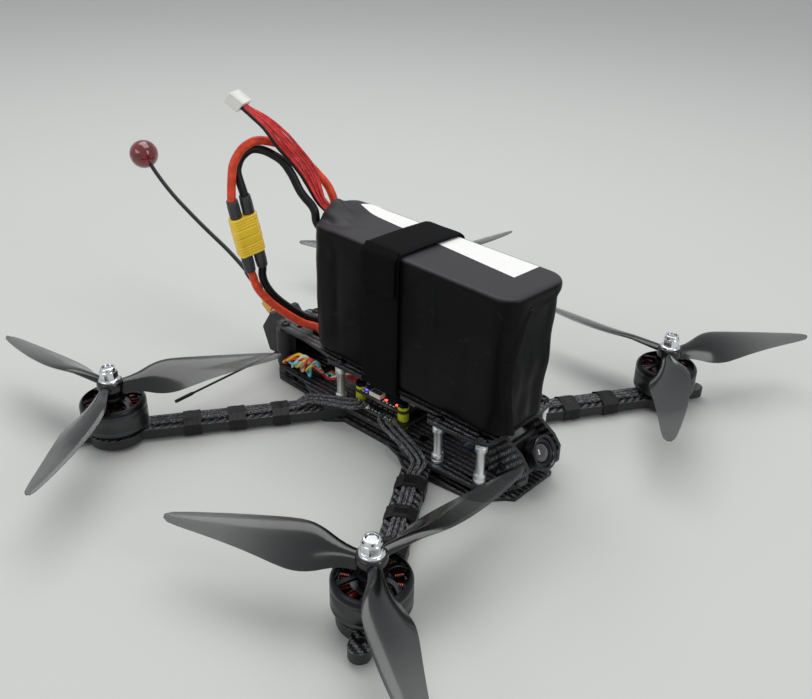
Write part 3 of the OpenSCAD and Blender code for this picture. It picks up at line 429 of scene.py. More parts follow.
def metal(name, colour, roughness, brushed=0.0, grain=1500, **sockets):
    """Metal with a fine turned or blasted grain and faint handling marks."""
    finish = Finish(name, colour, roughness, 1.0, **sockets)
    fine = finish.noise(finish.place(scale=(1, 1, 6 if brushed else 1)), grain, 2.0)
    marks = finish.noise(finish.place(), 140, 4.0, 0.6)
    finish.set("Roughness", roughness * (0.8 + 0.25 * fine + 0.3 * marks.rise(0.45, 0.7)))
    finish.set("Base Color", finish.mix(marks.rise(0.5, 0.75, 0, 0.35), colour, tinted(colour, 0.6)))
    finish.bump(fine, 0.01 * MM + brushed * 0.02 * MM, 0.6)
    return finish


def moulded(name, colour, roughness, grain=0.02, scale=1200, spread=0.3, **sockets):
    """Moulded or extruded plastic or rubber with a fine grain and slight changes of shade."""
    finish = Finish(name, colour, roughness, **sockets)
    fine = finish.noise(finish.place(), scale, 2.0)
    broad = finish.noise(finish.place(), 90, 3.0)
    finish.set("Base Color", finish.mix(broad.rise(0.35, 0.7), colour, tinted(colour, 1 - spread)))
    finish.set("Roughness", roughness * (0.85 + 0.3 * broad))
    finish.bump(fine, grain * MM)
    return finish


def shrink_film():
    """Shrink film over the cells: near black, with soft puckers, scuffs, a bare pale field on top, and
    painted light that makes faces turned upwards paler than the sides.
    """
    finish = Finish(
        "pack_film", srgb(12, 12, 13), 0.42, specular_ior_level=0.08, coat_weight=0.06, coat_roughness=0.1)
    where = finish.place()
    fine = finish.noise(where, 1400, 2.0)
    soft = finish.noise(finish.place(scale=(1, 1, 0.45)), 42, 3.0, 0.55)
    scuff = finish.noise(finish.place(scale=(0.6, 2, 1)), 210, 5.0, 0.65).rise(0.58, 0.74)
    up = finish.facing()[2]
    # Painted light: faces turned upwards are paler and the sides near black, as the overhead lamp leaves
    # them.
    shade = finish.mix(up.rise(0.3, 0.95), srgb(9, 9, 10), srgb(60, 58, 61))
    shade = finish.mix(scuff * 0.2, shade, srgb(64, 63, 65))
    pack = {0: finish.node("ShaderNodeTexCoord", output="Object"), 1: PACK_AT, 2: (0, 0, PACK_YAW)}
    x, y = finish.axes(finish.node("ShaderNodeMapping", {"vector_type": "TEXTURE"}, pack))[:2]
    near = y + 0.081 * x + 0.2 * MM * soft
    field = near.above(5.2 * MM) * y.below(19.4 * MM) * x.above(-61 * MM) * x.below(50 * MM) * up.above(0.55)
    pale = finish.mix(scuff * 0.5, srgb(236, 236, 233), srgb(196, 196, 194))
    finish.set("Base Color", finish.mix(field, shade, pale))
    finish.set("Roughness", 0.36 + 0.12 * fine + 0.12 * scuff)
    finish.bump(soft * 0.5 + fine * 0.03 + scuff * 0.02 + field * 0.12, 0.7 * MM, 0.55)
    return finish


def webbing():
    """Woven strap: ribs across and fine threads along."""
    finish = Finish("strap_weave", srgb(10, 10, 11), 0.8, sheen_weight=0.015, sheen_roughness=0.5,
                    specular_ior_level=0.06)
    across, along = finish.axes(finish.node("ShaderNodeUVMap", {"uv_map": "weave"}))[:2]
    rib, thread = across / (1.1 * MM), along / (0.7 * MM)
    lifted = ((rib.floor() + thread.floor()) % 2).above(0.5)
    hump = lifted * rib.fract().arch() + (1 - lifted) * thread.fract().arch()
    fuzz = finish.noise(finish.place(), 2600, 2.0)
    # Painted shade: the hollows between ribs and threads are darker and their crests paler; the fuzz varies
    # the tone at random.
    finish.set("Base Color", finish.mix(hump * (0.6 + 0.4 * fuzz), srgb(2, 2, 3), srgb(20, 20, 22)))
    finish.set("Roughness", 0.7 + 0.2 * fuzz)
    finish.bump(hump + 0.3 * fuzz, 0.12 * MM, 0.8)
    return finish


def smoked_blade(centre):
    """Smoked polycarbonate: dark at the root, thinner and lighter towards the tip."""
    finish = Finish("blade_smoke", srgb(30, 31, 32), 0.16, coat_weight=0.25, coat_roughness=0.05)
    x, y = finish.axes(finish.place())[:2]
    tip = 89 * MM
    reach = (((x - centre.x) ** 2 + (y - centre.y) ** 2) ** 0.5) / tip
    soft = finish.noise(finish.place(), 60, 2.0)
    finish.set("Base Color", finish.mix(reach.rise(0.14, 0.85), srgb(9, 9, 10), srgb(68, 70, 70)))
    finish.set("Alpha", reach.rise(0.16, 0.8, 0.985, 0.64))
    finish.set("Roughness", 0.13 + 0.1 * soft)
    finish.bump(soft, 0.4 * MM, 0.15)
    return finish


def wire_coat(name, colour, roughness=0.42):
    """Silicone wire insulation: slightly waxy, with dust in its grain."""
    finish = Finish(name, colour, roughness, specular_ior_level=0.3)
    broad = finish.noise(finish.place(), 260, 4.0, 0.6)
    fine = finish.noise(finish.place(), 2400, 2.0)
    deep, pale = tinted(colour, 0.72), tinted(colour, 1.25, 0.003)
    finish.set("Base Color", finish.mix(broad.rise(0.3, 0.75), deep, pale))
    finish.set("Roughness", roughness + 0.2 * (broad - 0.5))
    finish.bump(fine * 0.4 + broad, 0.05 * MM, 0.5)
    return finish


def sleeved(name):
    """Braided sleeve over a wire: crossing dark strands, with painted glints as pale flecks where they cross
    and painted shade between them.
    """
    finish = Finish(name, srgb(14, 14, 15), 0.55, specular_ior_level=0.25)
    x, y, z = finish.axes(finish.place())
    one = ((x + y + z * 0.8) / (0.9 * MM)).fract().arch()
    two = ((x - y - z * 0.8) / (0.9 * MM)).fract().arch()
    knot = (one * two).rise(0.15, 0.8)
    glint_fleck = finish.noise(finish.place(), 1000, 1.0).rise(0.46, 0.58)
    # Painted glints: the strand crossings turn pale in flecks, and the gaps between strands are dark with
    # painted shade.
    finish.set("Base Color", finish.mix(knot * (0.3 + 0.7 * glint_fleck), srgb(6, 6, 7), srgb(156, 156, 160)))
    finish.bump(knot, 0.12 * MM, 0.8)
    return finish


def wound_tape(name, colour):
    """Wound tape: overlapping turns along the arm, slightly crinkled."""
    finish = Finish(name, colour, 0.36, specular_ior_level=0.3)
    crinkle = finish.noise(finish.place(scale=(1, 1, 0.3)), 420, 4.0, 0.6)
    finish.set("Roughness", 0.26 + 0.3 * crinkle)
    finish.set("Base Color", finish.mix(crinkle.rise(0.4, 0.7), colour, tinted(colour, 1.6)))
    finish.bump(crinkle, 0.2 * MM, 0.5)
    return finish


def solder_mask(name, colour):
    """Circuit board: tracks under a glossy mask on the faces, and pale laminate on the edges."""
    finish = Finish(name, colour, 0.3, coat_weight=0.3, coat_roughness=0.15)
    x, y = finish.axes(finish.place())[:2]
    lane = 0.9 * MM
    step = finish.noise(finish.place(), 330, 0.0)
    track = ((x + step * 3 * MM) / lane).fract().above(0.55) * ((y + step * 2 * MM) / lane).fract().above(0.5)
    flat = finish.facing()[2].size().above(0.7)
    copper = finish.mix(track, colour, tinted(colour, 2.2, 0.01))
    finish.set("Base Color", finish.mix(flat, srgb(60, 58, 44), copper))
    finish.bump(track * flat, 0.04 * MM, 0.7)
    return finish


def glow(name, colour, strength):
    """A small light under a clear lens, brightest in patches."""
    finish = Finish(name, colour, 0.3)
    patch = finish.noise(finish.place(), 1800, 1.0)
    finish.set("Emission Color", finish.mix(patch.rise(0.3, 0.7), colour, tinted(colour, 1, 0.06)))
    finish.shader.inputs["Emission Strength"].default_value = strength
    return finish


# ---- Sizes and colours that a user may change ----


def length_property(name, description, millimetres):
    return FloatProperty(name=name, description=description, default=millimetres * MM, unit="LENGTH")


def colour_property(name, description, *rgb):
    return FloatVectorProperty(name=name, description=description, subtype="COLOR", size=4, min=0, max=1,
                               default=srgb(*rgb))


class DroneSizes(bpy.types.PropertyGroup):
    lead_radius: length_property("Power lead", "Radius of a power lead", 2.2)
    wire_radius: length_property("Balance wire", "Radius of one wire of the balance lead", 0.75)
    balance_width: length_property("Balance lead", "Width of the flat balance lead", 10.8)
    motor_wire: length_property("Motor wire", "Radius of a motor wire", 1.05)
    strap_thickness: length_property("Strap", "Thickness of the strap", 1.7)
    spokes: IntProperty(
        name="Bell spokes", description="Spokes on top of each motor bell", default=6, min=5, max=14)
    lamp_power: FloatProperty(
        name="Lamp power", description="Power of the main soft lamp", default=9.0, unit="POWER")


class DroneColours(bpy.types.PropertyGroup):
    red_wire: colour_property("Red wire", "Red silicone insulation", 222, 74, 44)
    balance_wire: colour_property("Balance wires", "Red insulation of the balance wires", 206, 58, 58)
    black_wire: colour_property("Black wire", "Black silicone insulation", 15, 14, 15)
    plug: colour_property("Power plug", "Nylon of the power plug", 254, 214, 56)
    damper: colour_property("Dampers", "Silicone of the stack dampers", 208, 208, 42)
    antenna_cap: colour_property("Antenna cap", "Gloss cap of the antenna", 120, 16, 24)
    floor: colour_property("Floor", "Plain floor and backdrop", 197, 198, 195)


# ---- Stage and camera ----

CAMERA_AT = Vector((0.27747, -0.30409, 0.26618))
CAMERA_TO = Vector((-0.01319, 0.01707, 0.0315))
CAMERA_ROLL = math.radians(1.27)
CAMERA_LENS = 39.8
LAMPS_TO = Vector((0, 0, 0.05))
LAMPS = (
    ("overhead", (-0.25, 0.25, 1.15), (1.3, 0.8), 1),
    ("front_left", (-0.2, -1.2, 0.75), (0.9, 0.35), 0.28),
    ("front_right", (1.2, 0.1, 0.7), (0.8, 0.3), 0.3),
)
FLOOR_SIZE = 60
FLOOR_DROP = 0.05 * MM


class DRONE_OT_stage(bpy.types.Operator):
    """Camera, plain floor and soft lamps"""

    bl_idname = "drone.stage"
    bl_label = "Stage"

    def execute(self, context):
        scene = context.scene
        scene.view_settings.view_transform = "Standard"
        self.camera(scene)
        self.floor(scene.drone_colours.floor)
        self.world(scene)
        power = scene.drone_sizes.lamp_power
        for name, at, size, share in LAMPS:
            self.lamp(name, Vector(at), size, power * share)
        return {"FINISHED"}

    def camera(self, scene):
        camera = bpy.data.objects.new("camera", bpy.data.cameras.new("camera"))
        ahead = (CAMERA_TO - CAMERA_AT).normalized()
        right = ahead.cross(Z).normalized()
        up = right.cross(ahead)
        cos, sin = math.cos(CAMERA_ROLL), math.sin(CAMERA_ROLL)
        pose = Matrix((cos * right + sin * up, cos * up - sin * right, -ahead)).transposed().to_4x4()
        camera.matrix_world = Matrix.Translation(CAMERA_AT) @ pose
        camera.data.sensor_fit = "HORIZONTAL"
        camera.data.sensor_width = 36
        camera.data.lens = CAMERA_LENS
        camera.data.clip_start = 0.01
        scene.collection.objects.link(camera)
        scene.camera = camera

    def floor(self, colour):
        mesh = bmesh.new()
        bmesh.ops.create_grid(mesh, x_segments=1, y_segments=1, size=FLOOR_SIZE)
        bmesh.ops.translate(mesh, vec=(0, 0, -FLOOR_DROP), verts=mesh.verts)
        data = bpy.data.meshes.new("floor")
        mesh.to_mesh(data)
        mesh.free()
        finish = Finish("floor", colour, 0.6)
        patch = finish.noise(finish.place(), 3, 2.0)
        finish.set("Roughness", 0.55 + 0.1 * patch)
        data.materials.append(finish.material)
        floor = bpy.data.objects.new("floor", data)
        bpy.context.collection.objects.link(floor)

    def world(self, scene):
        world = bpy.data.worlds.new("studio")
        world.use_nodes = True
        back = world.node_tree.nodes["Background"]
        back.inputs["Color"].default_value = (0.86, 0.88, 0.9, 1)
        back.inputs["Strength"].default_value = 0.62
        scene.world = world

    def lamp(self, name, at, size, power):
        data = bpy.data.lights.new(name, "AREA")
        data.shape = "RECTANGLE"
        data.size, data.size_y = size
        data.energy = power
        lamp = bpy.data.objects.new(name, data)
        lamp.matrix_world = aimed(at, at - LAMPS_TO)
        bpy.context.collection.objects.link(lamp)


# ---- Leads ----

BALANCE_ROUTE = metres([
    (-50.4, -2.6, 107.6), (-52.1, -2.8, 108), (-53.8, -3.6, 109.6), (-55.2, -4.9, 112.2), (-57, -6, 117),
    (-59.2, -7.3, 123), (-61.2, -9.6, 128.9), (-63.8, -14.2, 136.1), (-66.4, -19.1, 143),
    (-70.6, -25.5, 152.2), (-76.5, -30.5, 158.2), (-78.8, -31.9, 160.3),
])
BALANCE_TURNS = (0, 0, 0, 0, 0, 0, 0, 5, 20, 48, 65, 68)
BALANCE_SHARES = (0.4, 0.4, 0.42, 0.45, 0.62, 0.82, 0.9, 0.9, 1, 0.95, 0.9, 0.9)
BALANCE_PLUG_TURN = Euler([math.radians(angle) for angle in (51.6, -6, -53.6)]).to_matrix().to_4x4()
RED_ROUTE = metres([
    (-50.4, 3.6, 103), (-52.6, 3.6, 103.2), (-54.9, 4.2, 105.3), (-56, 5.2, 109.3), (-59, 3.9, 116.6),
    (-63.5, 1.2, 122.6), (-67.6, -3.8, 129.9), (-69.8, -9.1, 135.3), (-72, -15, 139.2),
    (-74, -21, 141.8), (-76.2, -28.1, 143.1), (-78.2, -34.9, 140.3), (-79.4, -39.6, 134.5),
    (-79.6, -41.6, 128.7),
])
BLACK_ROUTE = metres([
    (-50.7, -9, 99.4), (-52.6, -9, 99.7), (-54.3, -9.2, 102), (-55, -9.3, 106.7), (-57, -9.9, 110.1),
    (-59, -11.7, 113.4), (-61.3, -13.7, 117.9), (-65, -15.2, 125.4), (-68.6, -17.7, 131.8),
    (-73.4, -20.7, 135.4), (-76.9, -24.5, 137.7), (-79.3, -29.2, 138.3), (-81, -33.5, 135.5),
    (-81.6, -35.9, 131.6), (-81, -37.2, 126.9),
])
FRAME_RED = metres([
    (-79.8, -33, 70.7), (-78.6, -31.1, 62.8), (-75.3, -26.5, 54.8), (-71, -19.6, 46.9),
    (-65.5, -11.6, 39.6), (-60, -5.5, 36.4), (-54.5, -4.5, 31.5), (-48, -5, 24), (-38, -6, 17.5),
    (-28, -6, 16.2), (-20.2, -6, 16.2),
])
FRAME_BLACK = metres([
    (-78.8, -27.2, 69.2), (-78.6, -25.4, 62.8), (-76.6, -21.2, 55.2), (-73, -14.3, 47.3),
    (-68.4, -6.5, 40.3), (-60.5, 1.5, 36.9), (-54.5, 2, 31.5), (-48, 4, 24), (-38, 5, 17.5),
    (-28, 5, 16.2), (-20.2, 5, 16.2),
])
PLUG_FRAME = (
    moved(-78.4, -35.6, 95.3)
    @ turned_by(math.radians(12), "X")
    @ turned_by(math.radians(77))
)
PLUG_LENGTH = 11 * MM
PLUG_WIDTH = 15
PLUG_THICK = 7.8
PLUG_KEY = 2.4
CUP_GAP = 7.2
CUP_LENGTH = 4 * MM
SLEEVE_LENGTH = 10 * MM
HALVES = {1: PLUG_FRAME, -1: PLUG_FRAME @ Matrix.Diagonal((1, 1, -1, 1))}
BALANCE_WIRES = 7


def plug_point(side, along):
    """A point on the power plug's lead, on one side, at a height from the joint of its halves."""
    return PLUG_FRAME @ Vector((side * CUP_GAP * MM / 2, 0, along))


class DRONE_OT_balance_lead(bpy.types.Operator):
    """Flat balance lead of seven wires with its plug"""

    bl_idname = "drone.balance_lead"
    bl_label = "Balance Lead"

    def execute(self, context):
        sizes, colours = context.scene.drone_sizes, context.scene.drone_colours
        plug = self.plug()
        per = 5
        line = smooth_line(BALANCE_ROUTE, per)
        ahead = headings(line)
        sides, shares = [], []
        for i, (side, along) in enumerate(zip(carried(line, Y + Z), ahead)):
            step = min(i // per, len(BALANCE_TURNS) - 2)
            turn, share = (table[step] + (table[step + 1] - table[step]) * (i / per - step)
                           for table in (BALANCE_TURNS, BALANCE_SHARES))
            sides.append(Quaternion(along, math.radians(turn)) @ side)
            shares.append(share)
        mesh = bmesh.new()
        step = (sizes.balance_width - 2 * sizes.wire_radius) / (BALANCE_WIRES - 1)
        for wire in range(BALANCE_WIRES):
            path = []
            for i, (point, side, along) in enumerate(zip(line, sides, ahead)):
                loose = math.sin(math.pi * i / (len(line) - 1))
                out = (wire - 3) * step * shares[i]
                lift = 0.5 * MM * math.sin(1.9 * wire + 7 * i / len(line)) * loose
                lift += (1 - shares[i]) * 1.6 * MM * (-1) ** wire
                path.append(point + out * side + lift * along.cross(side))
            strand(mesh, path, sizes.wire_radius, 10, start=Y, material=0 if wire == 0 else 1)
        finishes = [
            wire_coat("balance_black", colours.black_wire),
            wire_coat("balance_red", colours.balance_wire),
        ]
        lead = piece_of("balance_lead_wires", mesh, "frame", finishes)
        stands_for(lead, "balance_lead")
        length = sum((b - a).length for a, b in zip(line, line[1:]))
        return {"FINISHED"}

    def plug(self):
        """White moulded housing with a mouth, ribs and seven contacts."""
        place = Matrix.Translation(BALANCE_ROUTE[-1]) @ BALANCE_PLUG_TURN
        mesh = bmesh.new()
        block(mesh, (-8, -2.7, 0.05), (8, 2.7, 8.05))
        mesh.faces.ensure_lookup_table()
        mouth = [face for face in mesh.faces if face.normal.z > 0.9]
        bmesh.ops.inset_region(mesh, faces=mouth, thickness=0.8 * MM)
        floor = bmesh.ops.extrude_face_region(mesh, geom=mouth)["geom"]
        bmesh.ops.delete(mesh, geom=mouth, context="FACES_ONLY")
        verts = [g for g in floor if isinstance(g, bmesh.types.BMVert)]
        bmesh.ops.translate(mesh, vec=(0, 0, -5.4 * MM), verts=verts)
        bmesh.ops.transform(mesh, matrix=place, verts=mesh.verts)
        for side in (-1, 1):
            for rib in (-5.8, 5.8):
                block(mesh, (rib - 0.6, side * 2.7 - 0.35, 1.2),
                      (rib + 0.6, side * 2.7 + 0.35, 7.4), 0.2, 1, place)
        for pin in range(BALANCE_WIRES):
            at = (pin - 3) * 1.95
            block(mesh, (at - 0.35, -0.35, 3), (at + 0.35, 0.35, 6.6), 0.1, 1, place, 1)
            block(mesh, (at - 0.75, -0.9, -0.1), (at + 0.75, 0.9, 0.3), 0.1, 1, place, 2)
        finishes = [
            moulded("plug_white", srgb(232, 231, 226), 0.45, spread=0.1),
            metal("plug_pins", srgb(205, 190, 150), 0.3),
            moulded("plug_holes", srgb(40, 38, 38), 0.5),
        ]
        plug = piece_of("balance_housing", mesh, "frame", finishes)
        eased(plug, 0.18, 50)
        return stands_for(plug, "balance_plug")


class DRONE_OT_power_leads(bpy.types.Operator):
    """Power leads, plug halves and sleeves"""

    bl_idname = "drone.power_leads"
    bl_label = "Power Leads"

    def execute(self, context):
        sizes, colours = context.scene.drone_sizes, context.scene.drone_colours
        red = wire_coat("lead_red", colours.red_wire, 0.36)
        black = wire_coat("lead_black", colours.black_wire, 0.4)
        into = PLUG_LENGTH + CUP_LENGTH * 0.4
        sleeve = PLUG_LENGTH + SLEEVE_LENGTH
        routes = {
            "battery_lead_red": (RED_ROUTE + [plug_point(-1, sleeve), plug_point(-1, into)], red),
            "battery_lead_black": (BLACK_ROUTE + [plug_point(1, sleeve), plug_point(1, into)], black),
            "frame_lead_red": ([plug_point(-1, -into), plug_point(-1, -sleeve)] + FRAME_RED, red),
            "frame_lead_black": ([plug_point(1, -into), plug_point(1, -sleeve)] + FRAME_BLACK, black),
        }
        for node, (route, finish) in routes.items():
            mesh = strand(bmesh.new(), smooth_line(route, 8), sizes.lead_radius, 24)
            stands_for(piece_of(node + "_silicone", mesh, "frame", [finish]), node)
        nylon = moulded("plug_nylon", colours.plug, 0.38, spread=0.12, coat_weight=0.2)
        for node, half in (("battery_plug", 1), ("frame_plug", -1)):
            self.half(node, HALVES[half], nylon)
        self.sleeves()
        return {"FINISHED"}

    def half(self, node, place, nylon):
        """One moulded half of the power plug, with its keyed side, grip ribs and cups."""
        mesh = bmesh.new()

        def ring(height, inset):
            a, b, key, ease = PLUG_WIDTH / 2 - inset, PLUG_THICK / 2 - inset, PLUG_KEY, 1.2
            outline = ((a, b - key), (a - key, b), (ease - a, b), (-a, b - ease), (-a, ease - b),
                       (ease - a, -b), (a - key, -b), (a, key - b))
            return metres((x, y, height) for x, y in outline)

        steps = [(0.05, 0.35), (0.4, 0.05), (4.2, 0.05), (4.5, 0.4), (5.0, 0.4)]
        for rib in range(3):
            low = 5.2 + 1.5 * rib
            steps += [(low, 0.1), (low + 0.9, 0.1), (low + 1.1, 0.4), (low + 1.35, 0.4)]
        steps += [(9.8, 0.1), (10.7, 0.1), (11, 0.5)]
        lofted(mesh, [ring(height, inset) for height, inset in steps])
        cup = [(0, 10.9), (2.55, 10.9), (2.6, 11.2), (2.6, 14.8), (2.3, 15), (0, 15)]
        for side in (-1, 1):
            turned(mesh, cup, moved(side * CUP_GAP / 2, 0, 0), 24, material=1)
        bmesh.ops.transform(mesh, matrix=place, verts=mesh.verts)
        bmesh.ops.recalc_face_normals(mesh, faces=mesh.faces)
        gold = metal("cup_gold_" + node, srgb(214, 170, 90), 0.25)
        piece = piece_of(node + "_moulding", mesh, "frame", [nylon, gold])
        eased(piece, 0.3, 28, 3)
        stands_for(piece, node)

    def sleeves(self):
        mesh = bmesh.new()
        profile = ((2.65, 11.02), (3.1, 11.05), (3.2, 11.4), (3.18, 17.4), (3.05, 18.6), (3.0, 20.6),
                   (2.85, 20.95), (2.28, 21), (2.28, 15.2), (2.65, 15.0))
        for place in HALVES.values():
            for side in (-1, 1):
                turned(mesh, profile, place @ moved(side * CUP_GAP / 2, 0, 0), 28, closed=True)
        bmesh.ops.recalc_face_normals(mesh, faces=mesh.faces)
        finish = moulded("sleeve_film", srgb(62, 62, 66), 0.34, 0.06, 700)
        stands_for(piece_of("lead_sleeves", mesh, "frame", [finish]), "plug_sleeves")


# ---- Battery ----

PACK_AT = Vector((17, 0, 0)) * MM
PACK_YAW = math.radians(-2.5)
PACK_TURN = Matrix.Translation(PACK_AT) @ turned_by(PACK_YAW)
PACK_SIZE = Vector((134, 43, 70)) * MM
PACK_CORNER = 10.7 * MM
PACK_CELLS = 6
PACK_LOW = 35.5 * MM
PACK_TOP = 105.5 * MM
STRAP_AT = -11 * MM
STRAP_WIDTH = 24 * MM
STRAP_LOW = 29.5 * MM
STRAP_TOP = 107.5 * MM
FILM_STEPS = (
    ((0, 2.6), (0.004, 1.2), (0.012, 0.45), (0.03, 0.1))
    + tuple((k / 26, 0.0) for k in range(1, 26))
    + ((0.968, 0.0), (0.982, 0.25), (0.992, 0.8), (0.998, 1.7), (1, 3.0))
)
FILM_TOP = (0.985, 0.965, 0.94, 0.91, 0.87, 0.83, 0.77, 0.5, 0.25)
HOOD = (
    (-21, 0), (-13.1, 0), (-12, 3.1), (-8.4, 5.7), (-4.3, 8), (-2, 8.6), (2, 6.2), (12.7, 3.7), (18.9, 1.2),
    (21, 0),
)
SEAM = ((36.5, -12.3), (56.3, -15.3), (69.3, -15.5), (80.3, -14.1), (90, -11.2), (97.6, -8.1), (99, -5.5))
LAP = ((-3.4, -0.3), (-2.6, 0.1), (-0.7, 0.95), (0.3, 0.85), (0.35, -1.2), (-0.6, -1.2))
LAP_LOW, LAP_TOP = 36.5, 98.4
END_FLAT, SIDE_FLAT, END_ROUND = 56.3, 10.8, 10.7
CORNERS = ((1, 1), (-1, 1), (-1, -1), (1, -1))


def across(table, at):
    """A value read off a table of (place, value) pairs, straight between its rows."""
    at = max(table[0][0], min(table[-1][0], at))
    for (a, low), (b, high) in zip(table, table[1:]):
        if at <= b:
            return low + (high - low) * (at - a) / (b - a)
    return table[-1][1]


class DRONE_OT_battery(bpy.types.Operator):
    """Shrink-wrapped battery pack and its grip pad"""

    bl_idname = "drone.battery"
    bl_label = "Battery"

    def execute(self, context):
        self.pack()
        self.pad()
        return {"FINISHED"}

    def ring(self, share, grow):
        """The film's section at a share of the pack's height, drawn in between the round cells."""
        half = Vector((PACK_SIZE.x / 2 - grow, PACK_SIZE.y / 2 - grow))
        corner = PACK_CORNER - grow * 0.6
        ring = []
        cell = PACK_SIZE.x / PACK_CELLS
        waist = math.sin(math.pi * clamped(share))
        for x, y in self.outline(half, corner):
            if abs(x) < half.x - corner * 0.6:
                valley = abs(math.sin(math.pi * (x + PACK_SIZE.x / 2) / cell))
                y -= math.copysign(0.5 * MM * (1 - valley) ** 2 * waist, y)
            crease = noise.noise(Vector((x * 55, y * 55, share * 5)))
            pull = (0.35 * MM * crease - 0.25 * MM) * waist
            ring.append(Vector((
                x + math.copysign(pull, x) * (abs(x) > half.x - corner),
                y + math.copysign(pull, y) * (abs(y) > half.y - corner),
                0,
            )))
        return ring

    def outline(self, half, corner):
        """Even points round the pack: four rounded corners and the straights between them."""

        def on_corner(turn, angle):
            sx, sy = CORNERS[turn % 4]
            return (sx * (half.x - corner) + corner * math.cos(angle),
                    sy * (half.y - corner) + corner * math.sin(angle))

        points = []
        for turn, count in enumerate((48, 14, 48, 26)):
            start = math.pi / 2 * turn
            points += [on_corner(turn, start + math.pi / 2 * k / 10) for k in range(10)]
            a = start + math.pi / 2
            last, ahead = on_corner(turn, a), on_corner(turn + 1, a)
            for k in range(count):
                t = k / count
                points.append((last[0] + (ahead[0] - last[0]) * t, last[1] + (ahead[1] - last[1]) * t))
        return points

    def pack(self):
        mesh = bmesh.new()
        rings = []
        for share, grow in FILM_STEPS:
            height = PACK_LOW + (PACK_TOP - PACK_LOW) * share
            rings.append([self.drawn(Vector((p.x, p.y, height))) for p in self.ring(share, grow * MM)])
        rim = self.ring(1, 3 * MM)
        for inward in FILM_TOP:
            rings.append([self.drawn(Vector((p.x * inward, p.y * inward, PACK_TOP))) for p in rim])
        lofted(mesh, rings)
        bmesh.ops.transform(mesh, matrix=PACK_TURN, verts=mesh.verts)
        film = shrink_film()
        pack = piece_of("battery_film", mesh, "frame", [film], 60)
        smooth = pack.modifiers.new("smooth", "SUBSURF")
        smooth.levels = smooth.render_levels = 1
        self.folds(film)
        stands_for(pack, "battery_pack")

    def drawn(self, point):
        """Raises the film over the leads, sinks the end panel inside its seam and crumples the corners."""
        x, y, z = point / MM
        over = clamped((z - 97) / 7)
        rear = clamped((-51 - x) / 15)
        z += across(HOOD, y) * rear * over * over * (3 - 2 * over)
        corner = max(0, 1 - Vector((x + 66, (y + 21) * 0.9, z - PACK_TOP / MM)).length / 26)
        ridge = 1 - 2 * abs(noise.noise(Vector((x * 0.11 + 3, y * 0.11, z * 0.16))))
        z += corner * (1.9 * ridge - 2.2) * over
        y += corner * (1.3 * ridge - 0.4)
        if x > 56:
            inside = clamped((y - across(SEAM, z)) / 1.3) if z < SEAM[-1][0] else 0
            pucker = noise.noise(Vector((y * 0.13, z * 0.07, 5)))
            x -= inside * (2.1 + 0.9 * pucker)
            far = clamped((y + 4) / 22) * clamped((96 - z) / 55)
            y -= 2.6 * far
            x -= 1.2 * far
        return Vector((x, y, z)) * MM

    def folds(self, film):
        """The lapped edge of the film down the front end."""
        mesh = bmesh.new()
        rings = []
        for k in range(25):
            z = LAP_LOW + (LAP_TOP - LAP_LOW) * k / 24
            y = across(SEAM, z) + 0.25 * math.sin(k * 1.9)
            slope = max(0, -SIDE_FLAT - y) / END_ROUND
            ahead = math.sqrt(1 - slope**2)
            out, along = Vector((ahead, -slope, 0)), Vector((slope, ahead, 0))
            at = Vector((END_FLAT + END_ROUND * ahead, y, z))
            rings.append([(at + a * along + b * out) * MM for a, b in LAP])
        lofted(mesh, rings)
        bmesh.ops.transform(mesh, matrix=PACK_TURN, verts=mesh.verts)
        piece_of("film_folds", mesh, "frame", [film], 50)
        slot_of("battery_pack")

    def pad(self):
        finish = moulded("pad_foam", srgb(24, 24, 25), 0.9, 0.2, 900, 0.4)
        refined("battery_pad", finish, 0.4, segments=3)


